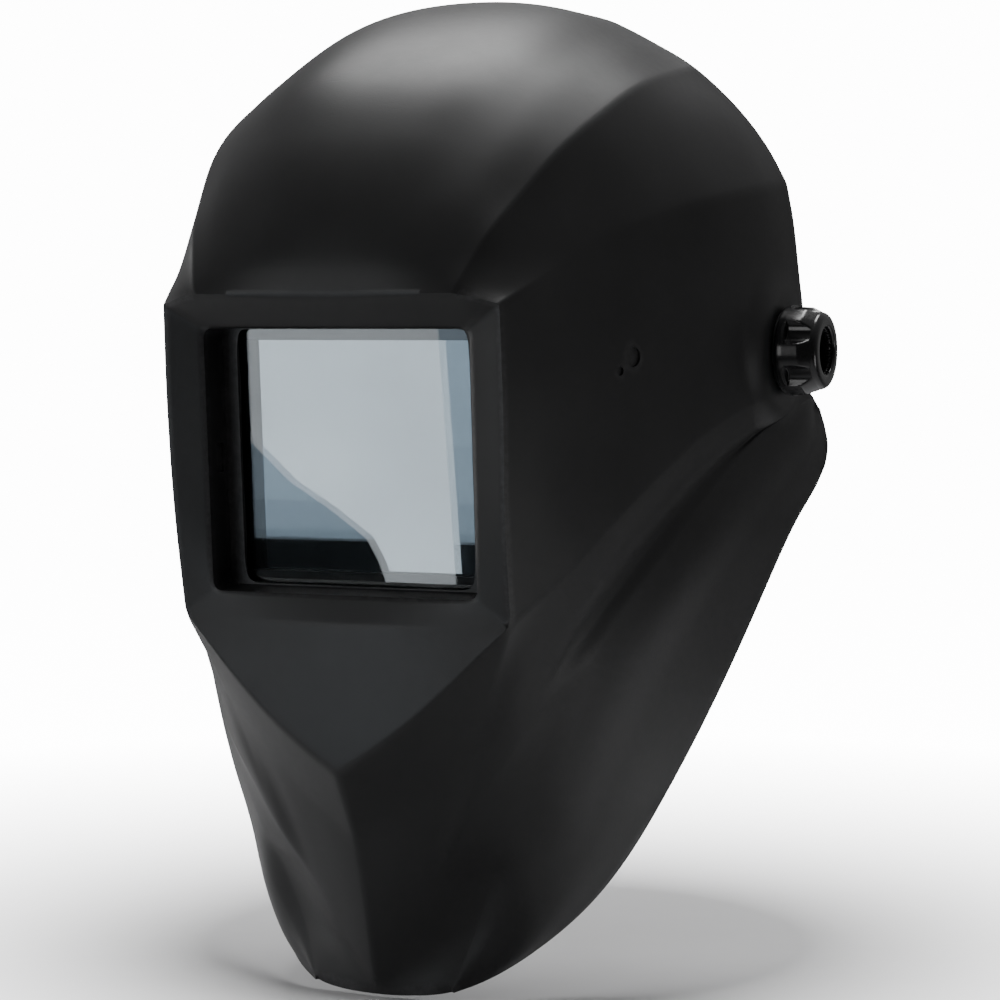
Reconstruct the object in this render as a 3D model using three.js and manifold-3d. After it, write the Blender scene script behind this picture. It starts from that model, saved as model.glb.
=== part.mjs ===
// A passive welding helmet: a moulded shell that tips up on two side pivots, with its glass stack,
// and the headgear that carries it. Millimetres. +X is the wearer's left, -Y the front, +Z up.
// The origin is on the tipping axis, midway between the two pivots.
import * as THREE from "three";
import { mergeVertices } from "three/addons/utils/BufferGeometryUtils.js";
import Module from "manifold-3d";

const wasm = await Module();
wasm.setup();

// ---- Driving dimensions -------------------------------------------------------------------
const SHELL_HALF_WIDTH = 104.7; // side wall at the pivots, outside
const FACE_REACH = 146; // pivot axis to the brow, forwards
const DOME_RISE = 122.5; // pivot axis to the top of the dome
const CHIN_DROP = 214; // pivot axis to the chin rim
const SHELL_WALL = 2.5;
const FIT_GAP = 0.4; // between pieces that slide in, or pass through, each other
const FACE_GAP = 0.3; // between pieces that lie face to face

const WINDOW_WIDTH = 95;
const WINDOW_HEIGHT = 86;
const WINDOW_TOP = 7.7; // height of the opening's top edge
const WINDOW_SETBACK = 11.6; // brow to the opening's plane
const WINDOW_TILT = 4 * (Math.PI / 180); // the opening's top leans forwards
const BEZEL_SIDE = 12.5;
const BEZEL_TOP = 8;
const BEZEL_BOTTOM = 8;
const TUNNEL_DEPTH = 12;
const LIP_WIDTH = 5.5; // side lips at the back of the tunnel
const TAB_HEIGHT = 9; // snap tabs of the glass holder, in the tunnel's sides
const TAB_DEPTH = 3;
const TAB_SETBACK = 6.5; // opening to the tab

const GLASS_WIDTH = 110;
const GLASS_HEIGHT = 90;
const COVER_THICKNESS = 1;
const FILTER_THICKNESS = 3;
const SEAT_THICKNESS = 3;
const SEAT_RAIL = 7; // height of the seat frame's top and bottom rails
const SEAT_STILE = 10; // width of its sides
const SEAL_THICKNESS = 1;
const RETAINER_THICKNESS = 2.5;
const HOLDER_WALL = 3;
const CLIP_LENGTH = 18;
const CLIP_WIDTH = 8;
const CLIP_THICKNESS = 1.5;
const CLIP_PLACE = 59.5; // window's middle to the clip screws
const CLIP_SCREW_RADIUS = 1.5;

const PIVOT_SEAT_RADIUS = 19; // flat seats under the knobs
const PIVOT_WALL = 2.8;
const BOLT_RADIUS = 3;
const BOLT_HEAD_RADIUS = 7;
const BOLT_HEAD_THICKNESS = 2.2;
const BOLT_NECK = 6.4; // square neck, in the side plate's slot
const KNOB_RADIUS = 15.6;
const KNOB_FACE_RADIUS = 13.3;
const KNOB_LENGTH = 14.4;
const KNOB_BORE_RADIUS = 8.25;
const KNOB_BORE_DEPTH = 8;
const KNOB_FLUTES = 6;
const FLUTE_TURN = 35 * (Math.PI / 180); // first flute, below the forward side
const INSERT_RADIUS = 5;
const INSERT_LENGTH = 4.4;
const INSERT_SETBACK = 0.2; // knob's inner face to the insert
const WASHER_RADIUS = 14;
const WASHER_THICKNESS = 0.8;
const STOP_THICKNESS = 2;
const STOP_REACH = 17; // axis to the end of the stop's lug
const BLOCK_RADIUS = 12;

const BAND_HALF_WIDTH = 78; // headband, outside
const BAND_FRONT = 87; // pivot axis to the front of the headband
const BAND_HEIGHT = 30;
const BAND_LOW = 6; // height of the headband's lower edge
const BAND_THICKNESS = 2;
const BAND_TAIL = 56; // pivot axis to the back ends of the front headband
const SWEAT_THICKNESS = 5;
const SWEAT_HEIGHT = 36;
const PLATE_INSIDE = 82.2; // middle of the helmet to the side plate's inner face
const PLATE_THICKNESS = 3;
const SLIDE_FORWARD = 12; // travel of the pivot blocks
const SLIDE_BACK = 4;
const CROWN_TOP = 100; // height of the crown strap's underside
const CROWN_PLACE = 8; // crown strap's middle, behind the pivots
const CROWN_DOWN = 12; // travel of the crown strap on its studs
const CROWN_UP = 4;
const STRAP_WIDTH = 18;
const STRAP_THICKNESS = 1.8;
const REAR_STRAP_WIDTH = 14;
const REAR_STRAP_PLACE = 14; // height of the rear strap's middle, at the headband
const REAR_IN = 12; // travel of the rear band
const REAR_OUT = 10;
const NAPE_HEIGHT = -32; // height of the size adjuster
const NAPE_REACH = 107.9; // pivot axis to the rear straps' middle, in the adjuster
const PINION_RADIUS = 8.2;
const PINION_TEETH = 10;
const RATCHET_RADIUS = 17;
const RATCHET_LENGTH = 12;

// ---- Materials ----------------------------------------------------------------------------
const finish = (color, roughness, metalness = 0) =>
  new THREE.MeshStandardMaterial({ color, roughness, metalness });
const FINISH = {
  shell: () => finish(0x1b1b1d, 0.55),
  knob: () => finish(0x0d0d0e, 0.35),
  frame: () => finish(0x101011, 0.6),
  clear: () => finish(0xdfe8ea, 0.05),
  dark: () => finish(0x0b1a18, 0.04),
  rubber: () => finish(0x18181a, 0.9),
  band: () => finish(0x202226, 0.5),
  pad: () => finish(0x2c2d31, 0.95),
  steel: () => finish(0xa9adb0, 0.35, 1),
  brass: () => finish(0xb08a3c, 0.35, 1),
};

// ---- Helpers ------------------------------------------------------------------------------
const v3 = (x, y, z) => new THREE.Vector3(x, y, z);
const part = new THREE.Group();

function toSolid(geometry) {
  const bare = geometry.index ? geometry.toNonIndexed() : geometry.clone();
  for (const key of Object.keys(bare.attributes)) {
    if (key !== "position") bare.deleteAttribute(key);
  }
  const merged = mergeVertices(bare, 1e-4);
  return new wasm.Manifold(
    new wasm.Mesh({
      numProp: 3,
      vertProperties: merged.attributes.position.array,
      triVerts: new Uint32Array(merged.index.array),
    }),
  );
}

function toGeometry(solid) {
  const mesh = solid.getMesh();
  const geometry = new THREE.BufferGeometry();
  geometry.setAttribute("position", new THREE.BufferAttribute(mesh.vertProperties, 3));
  geometry.setIndex(new THREE.BufferAttribute(mesh.triVerts, 1));
  return geometry;
}

function addMesh(parent, name, shape, material) {
  const geometry = shape.isBufferGeometry ? shape : toGeometry(shape);
  const mesh = new THREE.Mesh(geometry, material);
  mesh.name = name;
  parent.add(mesh);
  return mesh;
}

// A box between two opposite corners.
function block([x0, y0, z0], [x1, y1, z1]) {
  const box = new THREE.BoxGeometry(x1 - x0, y1 - y0, z1 - z0);
  return toSolid(box.translate((x0 + x1) / 2, (y0 + y1) / 2, (z0 + z1) / 2));
}

// A cylinder along +X, +Y or +Z, from one height to another on that axis.
function rod(axis, radius, from, to, [a, b] = [0, 0], sides = 24) {
  const shape = new THREE.CylinderGeometry(radius, radius, to - from, sides);
  shape.translate(0, (from + to) / 2, 0);
  if (axis === "x") shape.rotateZ(-Math.PI / 2).translate(0, a, b);
  if (axis === "y") shape.translate(a, 0, b);
  if (axis === "z") shape.rotateX(Math.PI / 2).translate(a, b, 0);
  return toSolid(shape);
}

// A turned piece on the X axis: profile points are [distance along X, radius].
function turned(profile, sides = 30) {
  const points = profile.map(([along, radius]) => new THREE.Vector2(radius, along));
  const shape = new THREE.LatheGeometry(points, sides);
  const solid = toSolid(shape.rotateZ(-Math.PI / 2));
  return solid.volume() < 0 ? insideOut(shape) : solid;
}

function insideOut(shape) {
  const flat = shape.toNonIndexed();
  const p = flat.attributes.position;
  for (let i = 0; i < p.count; i += 3) {
    const keep = v3().fromBufferAttribute(p, i + 1);
    p.setXYZ(i + 1, p.getX(i + 2), p.getY(i + 2), p.getZ(i + 2));
    p.setXYZ(i + 2, keep.x, keep.y, keep.z);
  }
  return toSolid(flat);
}

// A rectangle with rounded corners, centred, as a shape or a hole.
function roundedRect(Kind, width, height, radius) {
  const outline = new Kind();
  const [w, h, r] = [width / 2, height / 2, radius];
  outline.absarc(w - r, h - r, r, 0, Math.PI / 2);
  outline.absarc(r - w, h - r, r, Math.PI / 2, Math.PI);
  outline.absarc(r - w, r - h, r, Math.PI, 1.5 * Math.PI);
  outline.absarc(w - r, r - h, r, 1.5 * Math.PI, 2 * Math.PI);
  outline.closePath();
  return outline;
}

// A flat piece in the window's plane: its outline is in X and Z, and it is thick along +Y from y0.
function windowPlate(outline, y0, thickness) {
  const options = { depth: thickness, bevelEnabled: false, curveSegments: 2 };
  const shape = new THREE.ExtrudeGeometry(outline, options);
  return toSolid(shape.rotateX(Math.PI / 2).translate(0, y0 + thickness, 0));
}

// A rectangular plate, or a frame where an aperture is given.
function windowFrame(width, height, radius, y0, thickness, aperture) {
  const outline = roundedRect(THREE.Shape, width, height, radius);
  if (aperture) outline.holes.push(roundedRect(THREE.Path, ...aperture));
  return windowPlate(outline, y0, thickness);
}

// A closed body through a row of rings of points, with flat ends.
function loft(rings) {
  const count = rings[0].length;
  const faces = [];
  const quad = (a, b, c, d) => faces.push(a, b, c, a, c, d);
  for (let i = 0; i + 1 < rings.length; i++) {
    for (let j = 0; j < count; j++) {
      const k = (j + 1) % count;
      quad(rings[i][j], rings[i][k], rings[i + 1][k], rings[i + 1][j]);
    }
  }
  for (let j = 1; j + 1 < count; j++) {
    faces.push(rings[0][0], rings[0][j + 1], rings[0][j]);
    const end = rings[rings.length - 1];
    faces.push(end[0], end[j], end[j + 1]);
  }
  const shape = new THREE.BufferGeometry().setFromPoints(faces);
  const solid = toSolid(shape);
  return solid.volume() < 0 ? insideOut(shape) : solid;
}

// A strap that follows a line: at each point the ring has the given width along `across` and the
// thickness along the line's normal in the other direction. A list gives each point its width.
function strap(line, across, width, thickness) {
  const rings = line.map((p, i) => {
    const before = line[Math.max(i - 1, 0)];
    const after = line[Math.min(i + 1, line.length - 1)];
    const along = after.clone().sub(before).normalize();
    const out = along.clone().cross(across).normalize();
    const wide = across.clone().multiplyScalar((width[i] ?? width) / 2);
    const thick = out.multiplyScalar(thickness / 2);
    return [
      p.clone().add(wide).add(thick),
      p.clone().sub(wide).add(thick),
      p.clone().sub(wide).sub(thick),
      p.clone().add(wide).sub(thick),
    ];
  });
  return loft(rings);
}

// ---- Shell surface ------------------------------------------------------------------------
// Feature lines of the right half, from the front to the rear rim, for the nominal shell. `place`
// moves their points when a driving dimension changes; the window keeps its own size.
const NOMINAL = { halfWidth: 104.7, reach: 146, rise: 122.5, drop: 214, top: 15.4, bottom: -86 };
const BEZEL_HALF = WINDOW_WIDTH / 2 + BEZEL_SIDE;
const NOMINAL_BEZEL_HALF = 60;

const BOTTOM_EDGE = WINDOW_TOP - WINDOW_HEIGHT - BEZEL_BOTTOM + 0.3;
const TOP_EDGE = WINDOW_TOP + BEZEL_TOP - 0.3;

function stretch(value, from, to, newFrom, newTo) {
  return newFrom + ((value - from) * (newTo - newFrom)) / (to - from);
}

function place([x, y, z]) {
  const n = NOMINAL;
  const inBezel = (x * BEZEL_HALF) / NOMINAL_BEZEL_HALF;
  const px = x < NOMINAL_BEZEL_HALF
    ? inBezel
    : stretch(x, NOMINAL_BEZEL_HALF, n.halfWidth, BEZEL_HALF, SHELL_HALF_WIDTH);
  const py = (y * FACE_REACH) / n.reach;
  let pz = stretch(z, n.bottom, n.top, BOTTOM_EDGE, TOP_EDGE);
  if (z > n.top) pz = stretch(z, n.top, n.rise, TOP_EDGE, DOME_RISE);
  if (z < n.bottom) pz = stretch(z, n.bottom, -n.drop, BOTTOM_EDGE, -CHIN_DROP);
  return v3(px, py, pz);
}

// Each line has its points and how sharp its crease is at the front and at the rear. Below 0 the
// crease has died out before the rear.
const UPPER_LINES = [
  {
    name: "crown",
    sharp: [0, 0],
    points: [[0, -146, 17.7], [0, -144.5, 31], [0, -138, 50], [0, -126, 70], [0, -107, 90],
      [0, -73, 110], [0, -30, 121.4], [0, 22, 122.5]],
  },
  {
    name: "dome",
    sharp: [0, 0],
    points: [[24, -146.3, 18.2], [26, -144.3, 30], [27, -136.5, 49], [29, -123, 69.5],
      [31, -103, 89], [32.5, -66, 107.3], [33, -28, 116.6], [32, 20, 118.6]],
  },
  {
    name: "dome_side",
    sharp: [0, 0],
    points: [[38, -146.4, 18.6], [40.5, -143.5, 27], [44.5, -133, 47], [48, -113, 69],
      [49.5, -90, 85.5], [51, -58, 98.5], [51, -22, 107], [50, 17, 109.6]],
  },
  {
    name: "dome_crease",
    sharp: [1, 0.5],
    points: [[45.3, -146.2, 18.7], [46.5, -145.2, 21.2], [49.5, -140.5, 29], [52.8, -132.9, 38.5],
      [56.3, -117.4, 50], [60, -93.6, 65.3], [63, -66.6, 78.2], [65.5, -36.7, 90.1],
      [67, 13, 100.6]],
  },
  {
    name: "shoulder",
    sharp: [0, 0],
    points: [[53, -144.8, 17.3], [57.5, -134, 25.5], [62, -118, 36], [67, -94, 49],
      [73, -70, 60], [79.5, -40, 72], [84.5, -12, 79.5], [86.3, 12, 82]],
  },
  {
    name: "side_crease",
    sharp: [1, 0.2],
    points: [[60, -142, 15.4], [64.5, -128.4, 21.3], [68.3, -113.2, 27.8], [74.5, -94.5, 36.2],
      [81.5, -77.4, 42.3], [88.5, -59.1, 47.7], [95.5, -39.7, 51.7], [101, -14.7, 55.6],
      [102.8, 11, 58.8]],
  },
  {
    name: "side_upper",
    sharp: [0, 0],
    points: [[60.2, -139.5, -18], [69, -120, -8], [78.4, -96, 2], [87.6, -70, 10], [95.8, -45, 16],
      [101.5, -20, 20], [104, 0, 24], [104.6, 17, 28]],
  },
  {
    name: "side_lower",
    sharp: [0, 0],
    points: [[59.4, -136.5, -52], [68, -119.5, -44], [77.5, -96, -31], [87, -70, -19],
      [95.4, -45, -9], [101.8, -20, -2], [104.7, 0, 3], [105.3, 23, 6]],
  },
];
const VISOR_EDGE = [[0, -136, -136], [13.6, -135.6, -127], [26, -135, -117.5],
  [40, -133.8, -104.6], [54, -131.6, -90.6], [58.8, -130.5, -86]];
const CHEEK_CREASE = {
  name: "cheek_crease",
  sharp: [1, 0.3],
  points: [[58.8, -130.5, -86], [64.6, -120.5, -78], [72.5, -106.5, -66.2], [79.9, -90.5, -52.6],
    [86.6, -71.9, -40.3], [93.3, -52.2, -28.4], [99.6, -30.1, -19.9], [103.9, -9.4, -15.2],
    [105, 8, -12.6], [105.6, 25.5, -12]],
};
const LOWER_LINES = [
  {
    name: "chin_upper",
    sharp: [0.5, -1],
    points: [[0, -122.5, -160], [15, -123.5, -148], [30, -124, -134], [44, -122.5, -119],
      [56, -119, -104], [64, -111, -92.5], [71, -99.5, -80.5], [78, -84, -65], [85, -65, -50.5],
      [92, -45, -37.5], [98, -25, -28], [102.6, -2, -20.5], [105.6, 26.6, -13.6]],
  },
  {
    name: "chin_lower",
    sharp: [1, -1],
    points: [[0, -106.5, -214], [13, -106, -195], [23, -110, -174], [33, -114, -158],
      [42, -115, -143], [52, -113, -128], [60, -108, -113.5], [66.5, -101, -99], [72, -92, -87],
      [78.5, -77, -72], [85.5, -58, -55.5], [92.5, -37, -40.5], [98.8, -14, -29], [103.6, 10, -20.5],
      [105.6, 27.6, -15]],
  },
  {
    name: "lobe_crease",
    sharp: [0.3, 0.8],
    points: [[26, -102, -211.5], [31, -100.4, -192.1], [38, -103.9, -172.7], [42.2, -109, -161.6],
      [47.8, -109.9, -148.1], [55.6, -107.5, -131.6], [64, -102.6, -113.9], [71.5, -95.3, -99.6],
      [77.5, -84.2, -85.7], [84.5, -66.1, -68.8], [91, -45.7, -51.5], [97.5, -24, -35.4],
      [101.5, -4, -25.8], [104.6, 16.5, -19.3], [106, 29.5, -16.5]],
  },
  {
    name: "lobe_crest",
    sharp: [0, 0],
    points: [[26, -102, -211.5], [36, -97.5, -196], [46, -98, -177], [53, -97, -158],
      [59, -98, -140], [66, -95, -122], [73, -88, -107], [80, -76, -91], [87, -59, -74.5],
      [93.5, -39, -57], [100, -16, -40], [104.2, 5, -29], [106.2, 20.5, -21.5], [106, 29.5, -16.5]],
  },
  {
    name: "lobe",
    sharp: [0, 0],
    points: [[26, -102, -211.5], [44, -90, -200], [55, -83, -182], [63, -75, -163],
      [70, -68, -143], [77, -58, -122], [84, -45, -101], [91, -28, -81], [98, -8, -62],
      [103.5, 14, -45], [106.6, 31, -31], [106, 29.5, -16.5]],
  },
  {
    name: "rim",
    sharp: [0, 0],
    points: [[26, -102, -211.5], [38, -92, -205.2], [50, -78, -197], [61.5, -62.5, -183.5],
      [70.5, -48, -166], [74, -38, -155.2], [80.5, -26, -137.4], [87, -14, -117.6],
      [92, -2, -99.3], [97.8, 11, -77.5], [101.8, 21, -62], [103.4, 28.8, -55.2], [105.4, 41.5, -47],
      [106.6, 46.5, -40], [106.8, 46.5, -33], [106.6, 37.5, -22], [106, 29.5, -16.5]],
  },
];
const VISOR_COLUMNS = 5; // along the edge under the window
const SIDE_COLUMNS = 13; // from the window to the rear rim
const UPPER_STEPS = [2, 2, 1, 2, 2, 2, 2, 2];
const LOWER_STEPS = [2, 3, 2, 2, 2, 2];

function spaced(points, count) {
  const curve = new THREE.CatmullRomCurve3(points.map(place), false, "centripetal");
  curve.arcLengthDivisions = 400;
  return curve.getSpacedPoints(count);
}

// A smooth curve across the feature lines at one column. At a line whose sharpness is 1 the two
// sides have their own slopes, and at 0 they share one.
function acrossLines(points, sharp, steps, mirrored) {
  const last = points.length - 1;
  const gap = (i) => Math.max(points[i].distanceTo(points[i + 1]), 1e-6);
  const slope = (i) => points[i + 1].clone().sub(points[i]).divideScalar(gap(i));
  const shared = (i) => {
    if (i === 0) return mirrored ? v3(slope(0).length(), 0, 0) : slope(0);
    if (i === last) return slope(last - 1);
    const [a, b] = [gap(i - 1), gap(i)];
    return slope(i - 1).multiplyScalar(b / (a + b)).add(slope(i).multiplyScalar(a / (a + b)));
  };
  const out = [points[0].clone()];
  for (let i = 0; i < last; i++) {
    const h = gap(i);
    const m0 = shared(i).lerp(slope(i), sharp[i]).multiplyScalar(h);
    const m1 = shared(i + 1).lerp(slope(i), sharp[i + 1]).multiplyScalar(h);
    for (let k = 1; k <= steps[i]; k++) {
      const t = k / steps[i];
      const [t2, t3] = [t * t, t * t * t];
      const p = points[i].clone().multiplyScalar(2 * t3 - 3 * t2 + 1);
      p.addScaledVector(m0, t3 - 2 * t2 + t);
      p.addScaledVector(points[i + 1], 3 * t2 - 2 * t3);
      p.addScaledVector(m1, t3 - t2);
      out.push(p);
    }
  }
  return out;
}

const fade = ([front, rear], t) => Math.max(0, front + (rear - front) * t);

// Triangles of the right half of the outer surface, as a list of points in threes.
function halfSurface() {
  const faces = [];
  const triangle = (a, b, c) => {
    const area = b.clone().sub(a).cross(c.clone().sub(a)).length();
    if (area > 1e-4) faces.push(a, c, b);
  };
  const quad = (a, b, c, d) => {
    triangle(a, b, c);
    triangle(a, c, d);
  };
  const strip = (left, right) => {
    for (let i = 0; i + 1 < left.length; i++) {
      quad(left[i], right[i], right[i + 1], left[i + 1]);
    }
  };

  const upper = UPPER_LINES.map((line) => spaced(line.points, SIDE_COLUMNS));
  const visor = spaced(VISOR_EDGE, VISOR_COLUMNS);
  const cheek = spaced(CHEEK_CREASE.points, SIDE_COLUMNS);
  const all = VISOR_COLUMNS + SIDE_COLUMNS;
  const lower = LOWER_LINES.map((line) => spaced(line.points, all));

  const lowerSharp = (t) => LOWER_LINES.map((line) => fade(line.sharp, t));
  const columns = [];
  for (let k = 0; k < VISOR_COLUMNS; k++) {
    const points = [visor[k], ...lower.map((line) => line[k])];
    const sharp = [1, ...lowerSharp(k / all)];
    columns.push(acrossLines(points, sharp, LOWER_STEPS, false));
  }
  const upperCount = UPPER_STEPS.reduce((a, b) => a + b, 0);
  const fullColumns = [];
  for (let j = 0; j <= SIDE_COLUMNS; j++) {
    const t = j / SIDE_COLUMNS;
    const points = [...upper.map((line) => line[j]), cheek[j]];
    points.push(...lower.map((line) => line[VISOR_COLUMNS + j]));
    const sharp = UPPER_LINES.map((line) => fade(line.sharp, t));
    sharp.push(fade(CHEEK_CREASE.sharp, t));
    sharp.push(...lowerSharp((VISOR_COLUMNS + j) / all));
    fullColumns.push(acrossLines(points, sharp, [...UPPER_STEPS, ...LOWER_STEPS], true));
  }
  for (let j = 0; j < SIDE_COLUMNS; j++) strip(fullColumns[j], fullColumns[j + 1]);
  const joined = [...columns, fullColumns[0].slice(upperCount)];
  for (let k = 0; k < VISOR_COLUMNS; k++) strip(joined[k], joined[k + 1]);

  // The flat visor under the window, from its lower bezel edge to the visor edge.
  const visorTop = visor.map((p, k) => bezelPoint(k / VISOR_COLUMNS));
  visorTop[VISOR_COLUMNS] = visor[VISOR_COLUMNS];
  const between = [0, 1 / 3, 2 / 3, 1].map((s) => visor.map((p, k) => visorTop[k].clone().lerp(p, s)));
  for (let s = 0; s < 3; s++) strip(between[s + 1], between[s]);

  // The bezel: from the brow, side and lower edges in to the opening, then the tunnel and its lip.
  const front = fullColumns[0];
  const browSteps = UPPER_STEPS.slice(0, 5).reduce((a, b) => a + b, 0);
  const outer = [...front.slice(0, upperCount + 1), ...[...visorTop].reverse().slice(1)];
  const inner = openingLoop(browSteps, upperCount - browSteps, VISOR_COLUMNS);
  const ringAt = (w, h, y) => inner.map(([x, z]) => windowPoint(x * w, y, z * h));
  const [w, h] = [WINDOW_WIDTH / 2, WINDOW_HEIGHT / 2];
  const rings = [
    outer,
    ringAt(w, h, 0),
    ringAt(w - 0.15, h - 0.15, TUNNEL_DEPTH / 2),
    ringAt(w - 0.3, h - 0.3, TUNNEL_DEPTH),
    ringAt(w - LIP_WIDTH, h - 0.9, TUNNEL_DEPTH),
  ];
  for (let r = 0; r + 1 < rings.length; r++) strip(rings[r + 1], rings[r]);
  return faces;
}

// A point in the window's own plane, put in the helmet's frame.
const WINDOW_CENTRE = v3(0, WINDOW_SETBACK - FACE_REACH, WINDOW_TOP - WINDOW_HEIGHT / 2);
function windowPoint(x, y, z) {
  const turn = new THREE.Matrix4().makeRotationX(WINDOW_TILT);
  return v3(x, y, z).applyMatrix4(turn).add(WINDOW_CENTRE);
}

// The lower bezel edge: it bows forwards a little to the middle.
function bezelPoint(t) {
  const half = place([58.8, 0, 0]).x;
  const corner = place([58.8, -130.5, -86]);
  const bow = 3.6 * (1 - t * t);
  return v3(half * t, corner.y - bow, corner.z - 1.5 * (1 - t * t));
}

// The opening's half outline as shares of its half width and half height, top middle to bottom
// middle, with the given number of steps on each side.
function openingLoop(top, side, bottom) {
  const loop = [];
  for (let i = 0; i <= top; i++) loop.push([i / top, 1]);
  for (let i = 1; i <= side; i++) loop.push([1, 1 - (2 * i) / side]);
  for (let i = 1; i <= bottom; i++) loop.push([1 - i / bottom, -1]);
  return loop;
}

// Numbers the points of a list of faces, joining those that coincide.
function indexed(faces) {
  const seen = new Map();
  const points = [];
  const index = faces.map((p) => {
    const key = [p.x, p.y, p.z].map((c) => Math.round(c * 200)).join();
    if (!seen.has(key)) {
      seen.set(key, points.length);
      points.push(p);
    }
    return seen.get(key);
  });
  const triangles = [];
  for (let i = 0; i < index.length; i += 3) {
    const [a, b, c] = index.slice(i, i + 3);
    if (a !== b && b !== c && c !== a) triangles.push([a, b, c]);
  }
  return { points, triangles };
}

// Where a point of the surface lands when every face around it moves inwards by the wall.
function insetPoints({ points, triangles }, wall) {
  const around = points.map(() => []);
  for (const tri of triangles) {
    const [a, b, c] = tri.map((i) => points[i]);
    const normal = b.clone().sub(a).cross(c.clone().sub(a));
    const weight = normal.length();
    normal.normalize();
    for (const i of tri) around[i].push([normal, weight]);
  }
  return points.map((p, i) => {
    const mean = v3(0, 0, 0);
    for (const [n, w] of around[i]) mean.addScaledVector(n, w);
    mean.normalize();
    // Least squares for n . d = -wall over the faces, drawn slightly towards the mean normal.
    const m = new Array(9).fill(0);
    const r = v3(0, 0, 0);
    const total = around[i].reduce((sum, [, w]) => sum + w, 0);
    const add = (n, w) => {
      const c = n.toArray();
      for (let row = 0; row < 3; row++) {
        for (let col = 0; col < 3; col++) m[row * 3 + col] += w * c[row] * c[col];
      }
      r.addScaledVector(n, -wall * w);
    };
    for (const [n, w] of around[i]) add(n, w / total);
    const pull = 0.02;
    for (let d = 0; d < 3; d++) m[d * 4] += pull;
    r.addScaledVector(mean, -wall * pull);
    const inverse = new THREE.Matrix3().set(...m).invert();
    const move = r.applyMatrix3(inverse);
    if (move.length() > 1.8 * wall) move.setLength(1.8 * wall);
    return p.clone().add(move);
  });
}

function shellBody() {
  const half = halfSurface();
  const mirrored = [];
  for (let i = 0; i < half.length; i += 3) {
    const flip = (p) => v3(-p.x, p.y, p.z);
    mirrored.push(flip(half[i]), flip(half[i + 2]), flip(half[i + 1]));
  }
  for (const p of [...half, ...mirrored]) if (Math.abs(p.x) < 0.01) p.x = 0;
  const surface = indexed([...half, ...mirrored]);
  const inner = insetPoints(surface, SHELL_WALL);
  const edges = new Set(surface.triangles.flatMap(([a, b, c]) => [`${a} ${b}`, `${b} ${c}`, `${c} ${a}`]));
  const faces = [];
  for (const [a, b, c] of surface.triangles) {
    faces.push(surface.points[a], surface.points[b], surface.points[c]);
    faces.push(inner[a], inner[c], inner[b]);
  }
  for (const edge of edges) {
    const [a, b] = edge.split(" ").map(Number);
    if (edges.has(`${b} ${a}`)) continue;
    faces.push(surface.points[b], surface.points[a], inner[a]);
    faces.push(surface.points[b], inner[a], inner[b]);
  }
  return toSolid(new THREE.BufferGeometry().setFromPoints(faces));
}

// ---- Stations along the pivot axis, from the side plate outwards --------------------------
const PLATE_OUTSIDE = PLATE_INSIDE + PLATE_THICKNESS;
const SEAT_OUTSIDE = SHELL_HALF_WIDTH + FACE_GAP;
const SEAT_INSIDE = SEAT_OUTSIDE - PIVOT_WALL;
const STOP_INSIDE = SEAT_INSIDE - FACE_GAP - STOP_THICKNESS;
const WASHER_INSIDE = SEAT_OUTSIDE + FACE_GAP;
const KNOB_INSIDE = WASHER_INSIDE + WASHER_THICKNESS + FACE_GAP;
const KNOB_OUTSIDE = KNOB_INSIDE + KNOB_LENGTH;
const BOLT_END = KNOB_INSIDE + INSERT_SETBACK + INSERT_LENGTH;
const BOLT_HOLE = BOLT_RADIUS + FIT_GAP;

const SIDES = [
  { side: "left", sign: 1 },
  { side: "right", sign: -1 },
];
const sided = (solid, sign) => (sign > 0 ? solid : solid.mirror([1, 0, 0]));
const through = (radius, y, z, sides = 16) => rod("x", radius, 40, 140, [y, z], sides);

// A plate with rounded corners that is thick along X.
function sidePlate(x0, x1, [y0, z0], [y1, z1], radius) {
  const corners = [y0 + radius, y1 - radius].flatMap((y) =>
    [z0 + radius, z1 - radius].map((z) => rod("x", radius, x0, x1, [y, z], 12)),
  );
  return wasm.Manifold.hull(corners);
}

// ---- Stations behind the opening, square to the window ------------------------------------
const LIP_BACK = TUNNEL_DEPTH + SHELL_WALL;
const COVER_Y = LIP_BACK + FACE_GAP;
const SEAT_Y = COVER_Y + COVER_THICKNESS + FACE_GAP;
const FILTER_Y = SEAT_Y + SEAT_THICKNESS + FACE_GAP;
const SEAL_Y = FILTER_Y + FILTER_THICKNESS + FACE_GAP;
const INNER_Y = SEAL_Y + SEAL_THICKNESS + FACE_GAP;
const RETAINER_Y = INNER_Y + COVER_THICKNESS + FACE_GAP;
const RETAINER_BACK = RETAINER_Y + RETAINER_THICKNESS;
const CLIP_Y = RETAINER_BACK + FIT_GAP;
const CLIP_BACK = CLIP_Y + CLIP_THICKNESS;
const inWindow = (solid) =>
  solid.rotate([(WINDOW_TILT * 180) / Math.PI, 0, 0]).translate(WINDOW_CENTRE.toArray());

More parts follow.
